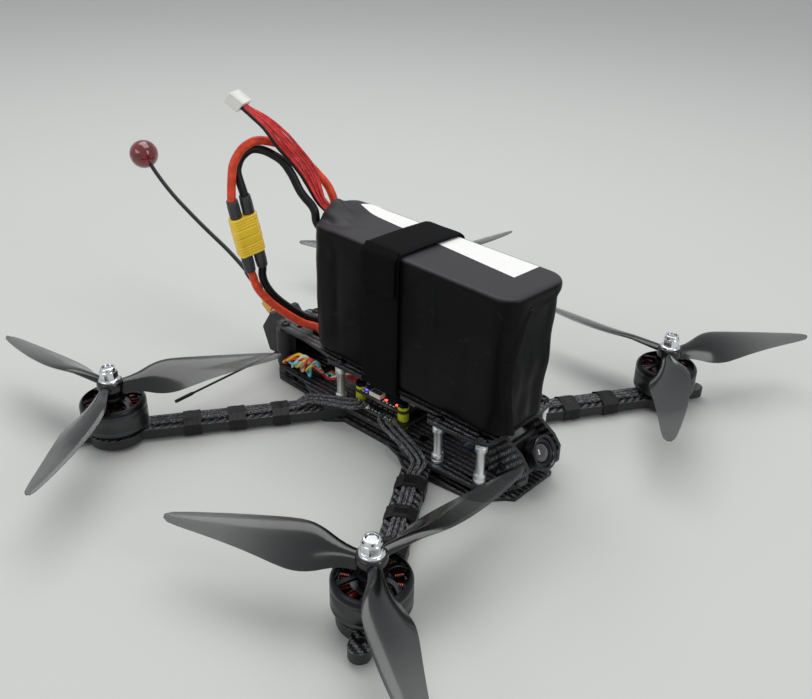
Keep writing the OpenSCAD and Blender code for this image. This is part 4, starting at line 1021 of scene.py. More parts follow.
class DRONE_OT_strap(bpy.types.Operator):
    """Woven strap round the pack, with its stitched end"""

    bl_idname = "drone.strap"
    bl_label = "Strap"

    def execute(self, context):
        thick = context.scene.drone_sizes.strap_thickness
        half = PACK_SIZE.y / 2 + 0.3 * MM
        mesh = bmesh.new()
        loop = self.loop(half + thick / 2, STRAP_LOW + thick / 2, STRAP_TOP - thick / 2)
        self.band(mesh, loop + [loop[0]], thick, 0, STRAP_WIDTH)
        tail = [(-half - thick * 1.55, z) for z in (85.5, 90, 95, 99, 101.6)]
        tail += [(-half - thick * 1.2, 104.6), (-half + 1 * MM, 107.4)]
        tail = smooth_line([(STRAP_AT, y, z * MM) for y, z in tail], 4)
        self.band(mesh, tail, thick * 0.7, 0.4 * MM, STRAP_WIDTH - 1.2 * MM)
        out = (-half - thick * 1.9) / MM
        for k in range(11):
            x = STRAP_AT / MM + 1.9 * (k - 5)
            for z in (86.4, 88.6):
                low, high = (x - 0.65, out - 0.12, z - 0.16), (x + 0.65, out + 0.25, z + 0.16)
                block(mesh, low, high, 0.08, 1, material=1)
        bmesh.ops.transform(mesh, matrix=PACK_TURN, verts=mesh.verts)
        strap = piece_of("strap_webbing", mesh, "frame", [webbing(), self.thread()], 50)
        stands_for(strap, "battery_strap")
        return {"FINISHED"}

    def loop(self, half, low, high):
        """The strap's middle line, drawn tight over the pack's rounded edges and under the top plate."""
        corners = ((half, high, 3.4), (-half, high, 3.4), (-half, low, 2.2), (half, low, 2.2))

        def on_corner(turn, angle):
            y, z, r = corners[turn % 4]
            r *= MM
            y, z = y - math.copysign(r, y), z + (-r if turn % 4 < 2 else r)
            return Vector((STRAP_AT, y + r * math.cos(angle), z + r * math.sin(angle)))

        line = []
        count = 12
        for turn in range(4):
            line += [on_corner(turn, math.pi / 2 * (turn + k / 6)) for k in range(7)]
            start, end = line[-1].copy(), on_corner(turn + 1, math.pi / 2 * (turn + 1))
            for k in range(1, count):
                point = start.lerp(end, k / count)
                if turn == 0:
                    point.z += 0.35 * MM * math.sin(math.pi * k / count)
                line.append(point)
        return line

    def band(self, mesh, line, thick, out, width):
        """A flat band along a line in the YZ plane, with its weave laid along it."""
        cells = 12
        last = len(line) - 1
        rings, lengths, total = [], [], 0.0
        closed = (line[0] - line[-1]).length < 1e-7
        for i, point in enumerate(line):
            if i:
                total += (line[i] - line[i - 1]).length
            ahead = line[(i + 1) % last] if closed else line[min(i + 1, last)]
            back = line[(i - 1) % last] if closed else line[max(i - 1, 0)]
            normal = X.cross((ahead - back).normalized())
            ripple = 0.18 * MM * math.sin(total / MM * 0.55)
            ring = []
            for side, order in ((1, range(cells + 1)), (-1, reversed(range(cells + 1)))):
                for k in order:
                    edge = 1 if 0 < k < cells else 0.55
                    lift = side * thick / 2 * edge - out + ripple * 0.3 * math.sin(k * 0.9)
                    ring.append(point + X * (k / cells - 0.5) * width - normal * lift)
            rings.append(ring)
            lengths.append(total)
        part = lofted(bmesh.new(), rings, caps=not closed)
        weave = part.loops.layers.uv.new("weave")
        for face in part.faces:
            middle = face.calc_center_median()
            spot = min(range(last), key=lambda n: (line[n].lerp(line[n + 1], 0.5) - middle).yz.length)
            for corner in face.loops:
                ends = [(line[n] - corner.vert.co).yz.length for n in (spot, spot + 1)]
                corner[weave].uv = (corner.vert.co.x, lengths[spot if ends[0] < ends[1] else spot + 1])
        copied(mesh, part, [Matrix()])

    def thread(self):
        finish = Finish("strap_thread", srgb(120, 120, 118), 0.7)
        finish.set("Roughness", 0.6 + 0.3 * finish.noise(finish.place(), 900, 2.0))
        return finish


# ---- Propellers and nuts ----

MOTOR_X, MOTOR_Y, MOTOR_Z = 92.5 * MM, 116.5 * MM, 7.5 * MM
MOTOR_SIGNS = ((1, -1), (1, 1), (-1, -1), (-1, 1))
BLADE_AT = (206, 58.5, 187, 83)
SPIN = (-1, 1, 1, -1)
BLADE_ROOT, BLADE_SPAN, BLADE_CHORD, BLADE_PITCH = 4.6, 84.3, 22, 92
CHORDS = (
    (0, 0.36), (0.08, 0.42), (0.15, 0.62), (0.22, 0.86), (0.3, 1), (0.4, 0.95), (0.5, 0.84), (0.62, 0.71),
    (0.75, 0.56), (0.9, 0.38), (1, 0.2),
)
SECTION = (
    (0, 0), (0.05, 0.34), (0.12, 0.52), (0.22, 0.7), (0.35, 0.8), (0.5, 0.76), (0.65, 0.62), (0.82, 0.34),
    (1, 0.06), (0.82, -0.02), (0.65, -0.02), (0.5, 0.01), (0.35, 0.02), (0.22, -0.08), (0.12, -0.22),
    (0.04, -0.16),
)
HUB = ((2.55, -4), (5.6, -4), (6.3, -3.6), (6.5, -3), (6.5, 2.6), (6.2, 3.5), (5.5, 4), (2.55, 4))
HUB_MID = 31.5
NUT_AT = 35.5 * MM
NUT_FLANGE = ((2.6, 0), (5.3, 0), (5.4, 0.25), (5.3, 0.6), (4.9, 1.0), (4.2, 1.3), (2.6, 1.3))
NUT_SIDES = ((1.0, 4.25), (1.35, 4.5), (4.6, 4.5), (5.2, 4.2))
NUT_COLLAR = ((4.3, 5), (3.9, 5.45), (3.75, 5.9), (3.7, 6.9), (3.4, 7.35), (2.6, 7.5), (2.6, 6.2), (2.6, 5))
NUT_INSERT = ((2.62, 6.0), (2.9, 6.0), (2.9, 7.3), (2.62, 7.3))
ARM_ROOTS = ((33, 20), (33, 20), (-28, 20), (-28, 20))


def motor_at(i, height=0.0):
    sx, sy = MOTOR_SIGNS[i]
    return Vector((sx * MOTOR_X, sy * MOTOR_Y, height))


def arm_heading(i):
    sx, sy = MOTOR_SIGNS[i]
    root = ARM_ROOTS[i]
    return math.atan2(sy * (MOTOR_Y / MM - root[1]), sx * MOTOR_X / MM - root[0])


class DRONE_OT_propellers(bpy.types.Operator):
    """Three-bladed propellers and their flanged nuts"""

    bl_idname = "drone.propellers"
    bl_label = "Propellers"

    def execute(self, context):
        steel = metal("nut_plating", srgb(226, 228, 230), 0.16, grain=2200)
        insert = moulded("nut_insert", srgb(28, 28, 30), 0.4)
        for i, rotor in enumerate(ROTORS):
            mesh = bmesh.new()
            turned(mesh, HUB, moved(0, 0, HUB_MID), 48, closed=True)
            for blade in range(3):
                turn = turned_by(math.radians(BLADE_AT[i] + 120 * blade))
                lofted(mesh, self.blade(SPIN[i]), moved(0, 0, HUB_MID) @ turn)
            bmesh.ops.translate(mesh, vec=motor_at(i), verts=mesh.verts)
            smoke = smoked_blade(motor_at(i))
            piece = piece_of("blades_" + rotor, mesh, "rotor_" + rotor, [smoke], 42)
            stands_for(piece, "propeller_" + rotor)
            self.nut(i, rotor, steel, insert)
        return {"FINISHED"}

    def blade(self, way):
        rings = []
        for j in range(31):
            t = (j / 30) ** 0.92
            reach = BLADE_ROOT + BLADE_SPAN * t
            chord = BLADE_CHORD * sum(across(CHORDS, t + step) for step in (-0.03, 0, 0.03)) / 3
            if t > 0.97:
                chord *= 0.45 + 0.55 * math.sqrt(max(0, 1 - ((t - 0.97) / 0.03) ** 2))
            angle = min(math.radians(34), math.atan(BLADE_PITCH / (math.tau * reach)))
            cos, sin = math.cos(angle), math.sin(angle)
            lead = 0.42 * chord + 2.4 * math.sin(math.pi * t)
            thick = 3.2 * (1 - t) + 0.9
            section = [(lead - back * chord, up * thick) for back, up in SECTION]
            rings.append(metres(
                (reach, way * (u * cos - w * sin), u * sin + w * cos - 0.4) for u, w in section))
        return rings

    def nut(self, i, rotor, steel, insert):
        mesh = bmesh.new()
        place = Matrix.Translation(motor_at(i, NUT_AT))
        turned(mesh, NUT_FLANGE, place, 40, closed=True)
        rings = []
        for height, r in NUT_SIDES:
            rings.append(metres((r * math.cos(a), r * math.sin(a), height) for a in SIXTHS))
        lofted(mesh, rings, place, caps=False)
        turned(mesh, NUT_COLLAR, place, 36, closed=True)
        turned(mesh, NUT_INSERT, place, 28, closed=True, material=1)
        piece = piece_of("flange_nut_" + rotor, mesh, "rotor_" + rotor, [steel, insert], 30)
        eased(piece, 0.12, 40)
        stands_for(piece, "prop_nut_" + rotor)


# ---- Motors ----

BELL_WALL = (
    (14.85, 3.4), (15.1, 3.2), (16.1, 3.2), (16.4, 3.45), (16.5, 3.9), (16.5, 5.2), (16.35, 5.4),
    (16.35, 5.7), (16.5, 5.9), (16.5, 12.4), (16.35, 12.6), (16.35, 12.9), (16.5, 13.1), (16.5, 14.6),
    (16.3, 14.6), (14.85, 14.6),
)
BELL_CROWN = (
    (16.5, 14.6), (16.45, 15.3), (16.1, 16.2), (15.5, 16.9), (14.9, 17.3), (14.5, 17.2), (14.4, 16.7),
    (14.7, 15.6), (14.85, 14.6),
)
BELL_SEAT = (
    (2.5, 15.9), (5.4, 15.9), (6.2, 16.4), (6.6, 17.4), (6.6, 18.8), (6.2, 19.4), (6.2, 19.8), (5.9, 20),
    (2.5, 20),
)
MOTOR_SHAFT = ((0, 1), (2.3, 1), (2.5, 1.2), (2.5, 34.3), (2.2, 34.7), (0, 34.7))
SPOKE_SECTION = (
    (1, -0.15), (0.8, 0.0), (-0.8, 0.0), (-1, -0.15), (-0.9, -0.85), (-0.6, -1), (0.6, -1), (0.9, -0.85),
)
CORE_SLEEVE = ((5.6, 4.6), (8.4, 4.6), (8.4, 13.6), (5.6, 13.6))
MAGNETS = 14
TEETH = 12
TURNS = 5


class DRONE_OT_motors(bpy.types.Operator):
    """Motor bells with open spokes, windings, laminations and bases"""

    bl_idname = "drone.motors"
    bl_label = "Motors"

    def execute(self, context):
        spokes = context.scene.drone_sizes.spokes
        anodised = metal("bell_anodising", srgb(44, 45, 48), 0.34, 0.4, 1800)
        flux = metal("flux_ring", srgb(74, 75, 76), 0.36, 0.8, 1400)
        magnet = metal("magnet_nickel", srgb(120, 120, 122), 0.3)
        steel = metal("shaft_steel", srgb(205, 207, 210), 0.2)
        for i, rotor in enumerate(ROTORS):
            self.bell(i, rotor, spokes, [anodised, flux, magnet, steel])
        self.stators()
        refined("motor_bases", metal("base_anodising", srgb(40, 41, 44), 0.4, 0.3, 1600), 0.2)
        return {"FINISHED"}

    def bell(self, i, rotor, spokes, finishes):
        mesh = bmesh.new()
        turned(mesh, BELL_WALL, steps=72, closed=True, material=1)
        turned(mesh, BELL_CROWN, steps=72, closed=True)
        turned(mesh, BELL_SEAT, steps=48, closed=True)
        for k in range(spokes):
            lofted(mesh, self.spoke(), turned_by(math.tau * k / spokes))
        turned(mesh, MOTOR_SHAFT, steps=28, material=3)
        for k in range(MAGNETS):
            block(mesh, (14.0, -2.7, 4.6), (14.8, 2.7, 13.6), 0.15, 1, turned_by(math.tau * k / MAGNETS), 2)
        bmesh.ops.translate(mesh, vec=motor_at(i, MOTOR_Z), verts=mesh.verts)
        piece = piece_of("motor_bell_" + rotor, mesh, "rotor_" + rotor, finishes, 38)
        stands_for(piece, "bell_" + rotor)

    def spoke(self):
        """One arched arm from the seat out over the shoulder, wider at both ends and swept a little."""
        rings = []
        for j in range(9):
            t = j / 8
            reach = 5.8 + 9.2 * t
            height = 19.0 - 0.5 * t - 1.9 * t**3
            wide = 1.15 + 0.9 * (2 * t - 1) ** 2 * 0.7
            deep = 1.9 - 0.7 * t
            sweep = 1.3 * math.sin(math.pi * t * 0.9)
            rings.append(metres((reach, sweep + y * wide, height + z * deep) for y, z in SPOKE_SECTION))
        return rings

    def stators(self):
        """Windings laid turn by turn over each tooth, with the plates of the core between them."""
        mesh = bmesh.new()
        tooth = bmesh.new()
        block(tooth, (8.3, -1.1, 4.6), (13.0, 1.1, 13.6), material=1)
        block(tooth, (12.7, -3.2, 4.6), (13.7, 3.2, 13.6), 0.2, 1, material=1)
        for wind in range(TURNS):
            wide = 1.75 + 0.075 * wind
            loop = ((wide, 4.0), (wide, 14.2), (wide - 0.5, 14.75), (0.5 - wide, 14.75), (-wide, 14.2),
                    (-wide, 4.0), (0.5 - wide, 3.5), (wide - 0.5, 3.5))
            rings = []
            for y, z in loop:
                at, out = Vector((9.2 + 0.78 * wind, y, z)), Vector((0, y, z - 9.1)).normalized()
                rings.append([(at + 0.39 * (math.cos(a) * X + math.sin(a) * out)) * MM for a in SIXTHS])
            lofted(tooth, rings + [rings[0]], caps=False)
        places = []
        for i in range(4):
            place = Matrix.Translation(motor_at(i, MOTOR_Z)) @ turned_by(arm_heading(i))
            turned(mesh, CORE_SLEEVE, place, 36, closed=True, material=1)
            places += [place @ turned_by(math.tau * k / TEETH) for k in range(TEETH)]
        copied(mesh, tooth, places)
        copper = metal(
            "winding_copper", srgb(98, 25, 22), 0.26, grain=900, coat_weight=0.6, coat_roughness=0.12)
        core = metal("core_plates", srgb(86, 88, 92), 0.45)
        core.bump((core.axes(core.place())[2] / (0.35 * MM)).fract().above(0.5), 0.05 * MM)
        shown("windings", mesh, [copper, core], 50, "motor_stators")


# ---- Carbon frame and its fastenings ----

POST_END = (
    (1.65, 0.05), (2.7, 0.05), (3.0, 0.3), (3.0, 1.5), (2.8, 1.7), (2.8, 2.0), (3.0, 2.2), (3.0, 4.5),
    (2.75, 4.95), (2.3, 5.1), (2.15, 5.4),
)
POST_HEIGHT = 22
POSTS_AT = ((-80, 12), (-26, 20), (48, 26), (73, 24.5))
PLATE_TOP = 9.5
PAD_ROW = 19.7
PAD_STEP = 3.4
PADS_AT = 9.8
TAPE_AT = (32, 55, 78)
TAPE_INNER = ((-7.12, 1.9), (7.12, 1.9), (7.12, 7.6), (3.3, 9.76), (-3.3, 9.76), (-7.12, 7.6))
TAPE_OUTER = ((-7.5, 1.55), (7.5, 1.55), (7.5, 7.85), (3.5, 10.14), (-3.5, 10.14), (-7.5, 7.85))
TAPE_STEPS = (
    (-4.5, 1), (-3.1, 1), (-3.05, 0.72), (-0.2, 0.72), (0, 0.95), (2.6, 0.95), (2.7, 0.7), (4.5, 0.7),
    (4.5, 0), (-4.5, 0),
)


class DRONE_OT_frame(bpy.types.Operator):
    """Carbon plates and arms, posts, screws and the motor wires' tape"""

    bl_idname = "drone.frame"
    bl_label = "Frame"

    def execute(self, context):
        for name in ("bottom_plate", "mid_plate", "top_plate"):
            refined(name, carbon(name + "_weave", math.radians(45)), 0.3, 30)
        for i, rotor in enumerate(ROTORS):
            refined("arm_" + rotor, carbon("arm_weave_" + rotor, -arm_heading(i)), 0.4, 30)
        for name in ("camera_plate_right", "camera_plate_left"):
            refined(name, carbon(name + "_weave", upright=True), 0.3, 30)
        self.posts()
        steel = metal("screw_black_oxide", srgb(52, 52, 54), 0.3)
        for name in ("frame_screws", "top_screws", "motor_screws", "stack_screws"):
            refined(name, steel, 0.1, 30)
        self.motor_leads(context.scene.drone_sizes.motor_wire)
        self.wraps()
        return {"FINISHED"}

    def posts(self):
        """Turned aluminium posts with a collar and a groove at each end, waisted between them."""
        mesh = bmesh.new()
        profile = POST_END + tuple((r, POST_HEIGHT - h) for r, h in reversed(POST_END))
        for x, y in POSTS_AT:
            for side in (1, -1):
                turned(mesh, profile, moved(x, side * y, PLATE_TOP), 32, closed=True)
        finish = metal("post_aluminium", srgb(236, 237, 238), 0.4, 0.5, 1700)
        shown("posts", mesh, [finish], 30, "standoffs")

    def motor_leads(self, radius):
        """Three braided wires along each arm, up over the plate's edge and onto their solder pads."""
        mesh = bmesh.new()
        for i, (end, side) in enumerate(MOTOR_SIGNS):
            root = Vector((ARM_ROOTS[i][0], side * ARM_ROOTS[i][1], 0))
            along = (motor_at(i) / MM - root).normalized()
            apart = 2.35 * Vector((-along.y, along.x, 0))
            reach = (motor_at(i) / MM - root).length
            steps = (reach - 17.1, reach - 30, reach - 45, reach - 60, 36, 24)
            for k in (-1, 0, 1):
                off = k * apart
                far = 1 + end * side * k
                pad = end * PADS_AT - k * PAD_STEP * side
                route = [root + along * step + off + Z * 8.6 for step in steps]
                route += [
                    root + along * 15 + 1.4 * off + Z * 11.55,
                    Vector((pad + 4 * end, side * (22.6 + far * 2.4), 15.1)),
                    Vector((pad, side * PAD_ROW, 15.35)),
                ]
                strand(mesh, smooth_line(metres(route), 5), radius, 12)
        shown("motor_wires", mesh, [sleeved("wire_braid")], 60, "motor_leads")

    def wraps(self):
        """Tape wound snugly round each arm and its three wires."""
        mesh = bmesh.new()
        for i, (end, side) in enumerate(MOTOR_SIGNS):
            place = moved(ARM_ROOTS[i][0], side * ARM_ROOTS[i][1], 0) @ turned_by(arm_heading(i))
            for at in TAPE_AT:
                rings = [
                    metres((at + step, a[0] + (b[0] - a[0]) * share, a[1] + (b[1] - a[1]) * share)
                           for a, b in zip(TAPE_INNER, TAPE_OUTER))
                    for step, share in TAPE_STEPS
                ]
                lofted(mesh, rings + [rings[0]], place, caps=False)
        tape = piece_of("tape_bands", mesh, "frame", [wound_tape("band_tape", srgb(14, 14, 15))], 25)
        eased(tape, 0.25, 30)
        stands_for(tape, "lead_wraps")


# ---- Camera ----

TILT = math.radians(28)
CAMERA_FRAME = moved(78, 0, 15.5) @ turned_by(-TILT, "Y")
LENS_MOUTH = [
    (8.5, 15.4), (8.4, 16.1), (8.0, 16.45), (7.2, 16.5), (6.9, 16.2), (6.4, 15.4), (6.3, 14.8), (5.6, 14.6),
    (5.5, 14.1), (4.6, 13.9), (4.5, 13.4), (0, 13.3), (0, 4.6),
]


class DRONE_OT_camera(bpy.types.Operator):
    """Tilting camera with its lens and screws"""

    bl_idname = "drone.camera"
    bl_label = "Camera"

    def execute(self, context):
        case = moulded("camera_shell", srgb(24, 24, 26), 0.35, 0.03, 1500)
        refined("camera_case", case, 0.35, 30, 3)
        refined("camera_screws", metal("tilt_screws", srgb(96, 97, 100), 0.25), 0.1, 30)
        self.lens()
        return {"FINISHED"}

    def lens(self):
        """Ridged barrel, dark inner steps and a coated glass dome."""
        mesh = bmesh.new()
        place = CAMERA_FRAME @ turned_by(math.pi / 2, "Y")
        barrel = [(5.9, 4.6), (5.9, 8.9), (8.2, 10.9), (8.45, 11.3)]
        for rib in range(4):
            low = 11.5 + 0.95 * rib
            barrel += [(8.5, low), (8.5, low + 0.5), (8.3, low + 0.6), (8.3, low + 0.85)]
        turned(mesh, barrel + LENS_MOUTH, place, 64)
        angles = [math.radians(12 * k) for k in range(1, 8)]
        dome = [(0, 15.9)] + [(5.9 * math.sin(a), 12.3 + 3.6 * math.cos(a)) for a in angles]
        dome += [(5.9, 12.6), (0, 12.6)]
        turned(mesh, dome, place, 56, material=1)
        barrel_finish = metal("lens_barrel", srgb(64, 64, 68), 0.24, 0.4, 1700)
        glass = Finish(
            "lens_glass", srgb(10, 11, 20), 0.04, coat_weight=1.0, coat_roughness=0.02,
            specular_ior_level=0.8)
        y, z = glass.axes(glass.place())[1:]
        out = ((y ** 2 + (z - 17.5 * MM) ** 2) ** 0.5) / (6 * MM)
        glass.set("Base Color", glass.mix(out.rise(0.2, 1.0), srgb(6, 8, 20), srgb(22, 18, 28)))
        lens = piece_of("camera_glass_and_barrel", mesh, body_of("camera_lens"), [barrel_finish, glass], 30)
        stands_for(lens, "camera_lens")


# ---- Electronics ----

WIRE_COLOURS = ((232, 92, 20), (236, 200, 40), (90, 200, 214), (228, 228, 224), (206, 30, 26))
ESC_TOP = 13.6
CONTROLLER_TOP = 20.2
SOLDER_BEAD = ((0, 2.5), (0.6, 2.4), (1.1, 1.9), (1.4, 1.1), (1.55, 0.4), (1.6, 0.02), (0, 0.02))
SOCKETS = (
    ((-18, -11.4), (-13.8, -3.25)), ((-18, 6.55), (-13.8, 11.4)), ((13.8, -10.5), (18, -2.5)),
    ((-7, -18), (1, -13.8)),
)
CAPACITOR = (
    (0, -8.4), (4.2, -8.4), (4.7, -8.1), (4.9, -7.6), (4.9, 5.6), (4.5, 6.1), (4.45, 6.5), (4.9, 7.0),
    (4.9, 8.1), (4.5, 8.5), (0, 8.5),
)
CAPACITOR_END = ((0, -8.45), (3.7, -8.45), (3.9, -8.49), (0, -8.49))


def standing(mesh, high, low, top, ease=0.12, material=0, segments=1):
    """A part on a board: its low corner is lifted off the board only if it has a third number."""
    foot = high + 0.02 + (low[2] if len(low) > 2 else 0)
    block(mesh, (low[0], low[1], foot), (top[0], top[1], high + top[2]), ease, segments, material=material)


class DRONE_OT_electronics(bpy.types.Operator):
    """Boards, parts, wires and lights between the plates"""

    bl_idname = "drone.electronics"
    bl_label = "Electronics"

    def execute(self, context):
        refined("esc_board", solder_mask("esc_mask", srgb(18, 20, 24)), 0.1, 30)
        refined("flight_controller", solder_mask("controller_mask", srgb(14, 17, 24)), 0.1, 30)
        self.esc_parts()
        self.controller_parts()
        colour = context.scene.drone_colours.damper
        silicone = moulded("damper_silicone", colour, 0.42, 0.04, 900, 0.2, subsurface_weight=0.1)
        refined("stack_dampers", silicone, 0.3, 30, 3)
        refined("boot_button", moulded("button_cap", srgb(214, 212, 204), 0.4), 0.12, 30)
        refined("video_transmitter", metal("sink_anodising", srgb(62, 64, 70), 0.35, 0.4), 0.15, 30)
        self.capacitor()
        self.receiver()
        self.wires()
        return {"FINISHED"}

    def esc_parts(self):
        """Power transistors, driver chip, solder joints and the current sensor."""
        mesh = bmesh.new()

        def part(*shape):
            standing(mesh, ESC_TOP, *shape)

        for side in (1, -1):
            for row in (13.2, 9.2):
                for k in range(6):
                    x, y = (k - 2.5) * 3.9, side * row
                    part((x - 1.5, y - 1.35), (x + 1.5, y + 1.35, 0.9))
                    for leg in (-1.05, -0.35, 0.35, 1.05):
                        part((x + leg - 0.2, y - 1.6), (x + leg + 0.2, y + 1.6, 0.22), 0.04, 1)
            for end in (1, -1):
                for k in (-1, 0, 1):
                    place = moved(end * PADS_AT + k * PAD_STEP, side * PAD_ROW, ESC_TOP)
                    turned(mesh, SOLDER_BEAD, place @ Matrix.Diagonal((1, 0.82, 1, 1)), 16, material=1)
        for k in range(5):
            x = 2.4 * (k - 2)
            for y in (-19.5, 19.5):
                part((x - 0.85, y - 0.9), (x + 0.85, y + 0.9, 0.95), 0.3, 1, 2)
        part((-2.5, -2.5), (2.5, 2.5, 0.9), 0.15)
        for y in (-6, 5):
            part((-19.6, y - 2.5), (-16.4, y + 2.5, 0.34), 0.12, 1, 2)
        part((10, -3.6), (16, 3.6, 1.2), 0.2, 2, 2)
        finishes = [
            moulded("chip_epoxy", srgb(30, 30, 32), 0.45, 0.02, 1500),
            metal("solder", srgb(205, 207, 210), 0.26),
            metal("sensor_copper", srgb(150, 96, 60), 0.35),
        ]
        shown("esc_components", mesh, finishes, 30, "esc_parts")

    def controller_parts(self):
        """Processor, sensors, sockets with their pins, and small glowing lights."""
        mesh = bmesh.new()

        def part(*shape):
            standing(mesh, CONTROLLER_TOP, *shape)

        part((-4.9, -4.9), (4.9, 4.9, 0.98), 0.15)
        for k in range(16):
            at = -4.2 + 0.56 * k
            for side in (-1, 1):
                part((at, side * 5.3 - 0.25), (at + 0.26, side * 5.3 + 0.25, 0.22), 0.03, 1)
                part((side * 5.3 - 0.25, at), (side * 5.3 + 0.25, at + 0.26, 0.22), 0.03, 1)
        part((7.05, -2.95), (9.95, -0.05, 0.88), 0.1, 1)
        part((-11.9, 3.1), (-7.1, 6.9, 0.78), 0.1)
        for low, top in SOCKETS:
            part(low, top + (2.55,), 0.2, 3)
            part((low[0] + 0.5, low[1] + 0.5, 2.5), (top[0] - 0.5, top[1] - 0.5, 2.62), 0.05, 0)
            wide, deep = top[0] - low[0], top[1] - low[1]
            for k in range(int(max(wide, deep) - 1.2)):
                at = 0.9 + k
                x, y = (low[0] + top[0]) / 2, (low[1] + top[1]) / 2
                x, y = (low[0] + at, y) if wide > deep else (x, low[1] + at)
                part((x - 0.17, y - 0.17, 2.55), (x + 0.17, y + 0.17, 2.85), 0.03, 1)
        part((-4.4, 11.8), (4.4, 18.8, 3.15), 0.5, 1)
        part((-3.7, 18.7, 0.7), (3.7, 18.86, 2.5), 0.05, 0)
        part((4.45, 11.45), (7.55, 14.55, 0.36), 0.1, 1)
        for x, y in ((4.7, 11.7), (7.3, 11.7), (4.7, 14.3), (7.3, 14.3)):
            part((x - 0.25, y - 0.25), (x + 0.25, y + 0.25, 1.5), 0.05, 1)
        for (x, y), colour in (((11, -15.5), 5), ((-11, -15.5), 4), ((3.5, -15.8), 5)):
            part((x - 0.8, y - 0.5), (x + 0.8, y + 0.5, 0.7), 0.1, colour)
        for x in (-11.6, -9.2, 3.4, 5.8, 8.2, 10.6):
            part((x - 0.85, -17.9), (x + 0.85, -16.6, 0.6), 0.3, 1)
        for k in range(9):
            x, y = -11 + 2.9 * k, 8.6 if k % 2 else -8.2
            if abs(x) < 12.5:
                part((x - 0.5, y - 0.28), (x + 0.5, y + 0.28, 0.45), 0.06, 1 if k % 3 else 2)
        finishes = [
            moulded("chip_epoxy_fc", srgb(27, 27, 29), 0.42, 0.02, 1500),
            metal("contacts", srgb(206, 204, 196), 0.28),
            moulded("ceramic_parts", srgb(150, 118, 84), 0.4),
            moulded("socket_nylon", srgb(226, 222, 208), 0.45, spread=0.1),
            glow("light_blue", srgb(46, 36, 235), 3.6),
            glow("light_red", srgb(250, 60, 46), 3.2),
        ]
        shown("controller_components", mesh, finishes, 30, "controller_parts")

    def capacitor(self):
        mesh = bmesh.new()
        place = moved(34, 0, 14.55) @ turned_by(math.pi / 2, "X")
        turned(mesh, CAPACITOR, place, 40)
        turned(mesh, CAPACITOR_END, place, 32, material=1)
        finishes = [
            moulded("capacitor_sleeve", srgb(26, 34, 52), 0.3, 0.02, 900),
            metal("capacitor_can", srgb(190, 192, 196), 0.3),
        ]
        shown("capacitor_body", mesh, finishes, 30, "filter_capacitor")

    def receiver(self):
        refined("receiver", solder_mask("receiver_mask", srgb(22, 44, 72)), 0.1, 30)
        mesh = bmesh.new()
        start, end = Vector((-89, -6, 12.4)), Vector((-85.5, -85, 11.6))
        line = [start.lerp(end, k / 30) * MM for k in range(31)]
        strand(mesh, line, 0.62 * MM, 12)
        tip = [start.lerp(end, 1 - 12 / (end - start).length * (1 - k / 8)) * MM for k in range(9)]
        strand(mesh, tip, 0.98 * MM, 14, shape=lambda t: 0.72 if t == 0 else (0.9 if t == 1 else 1))
        finish = wire_coat("whip_coat", srgb(22, 22, 23), 0.45)
        shown("receiver_whip", mesh, [finish], 50, "receiver_antenna")

    def wires(self):
        """Signal wires in five colours, each with a slack bend, and the receiver's loom."""
        mesh = bmesh.new()
        for k in range(5):
            y, sag = -9.2 - 1.7 * k, 1.1 * (k % 3)
            start, end = Vector((-49.9, y + 4.4, 12)), Vector((-18.1, y + 5.2, 21.6))
            route = [
                start, start + 1.6 * X, (-44, y + 1.6, 13 + sag), (-36, y - 0.2, 18.2 - sag),
                (-27, y + 2.4, 22.4 - sag), end - 2 * X, end,
            ]
            strand(mesh, smooth_line(metres(route), 6), 0.6 * MM, 12, material=k)
        finishes = [wire_coat("signal_wire_%d" % k, srgb(*rgb), 0.35) for k, rgb in enumerate(WIRE_COLOURS)]
        shown("signal_wiring", mesh, finishes, 50, "signal_wires")
        loom = bmesh.new()
        for k in range(13):
            wave, other = math.sin(2.3 * k), math.sin(1.7 * k + 1)
            start = Vector((-74 + 1.1 * k, -13.2, 12 + 0.25 * k))
            route = [
                start,
                start + Vector((0.3, -1.6, 0.2)),
                (-76 + 1.9 * k, -17.8 - 0.6 * wave, 12.8 + 1.2 * (k % 4)),
                (-69 + 1.4 * k, -18.6 + 0.6 * wave, 18.2 + 2.4 * wave),
                (-61 + 0.9 * k, -17.6 + 0.9 * wave, 21.5 + 2.2 * other),
                (-54 + 0.4 * k, -15.2 - 0.6 * wave, 17 + 0.4 * k),
                (-49.6, -10.6 - 0.35 * k, 12 + 0.6 * k),
            ]
            strand(loom, smooth_line(metres(route), 6), 0.8 * MM, 12, material=(3 * k + 1) % 5)
        piece_of("receiver_loom", loom, "frame", finishes, 50)
        slot_of("signal_wires")


# ---- Antenna ----

MAST_ROUTE = metres([
    (-126, 0, 46), (-137, 0, 52), (-148, 0, 57), (-160, 0, 61.5), (-173, 0, 66.5), (-186, 0, 72),
    (-197, 0, 77), (-207, 0, 82.5), (-216, 0, 88.5), (-222, 0, 93.3),
])
CAP_AT = Vector((-228.5, 0, 98.6)) * MM
SMA_RISE = math.radians(34)
SMA_AT = Vector((-100, 0, 28.5)) * MM
SMA_WAY = Vector((-math.cos(SMA_RISE), 0, math.sin(SMA_RISE)))
JACKET_FROM = 19.05
CAP_RADIUS = 8.98


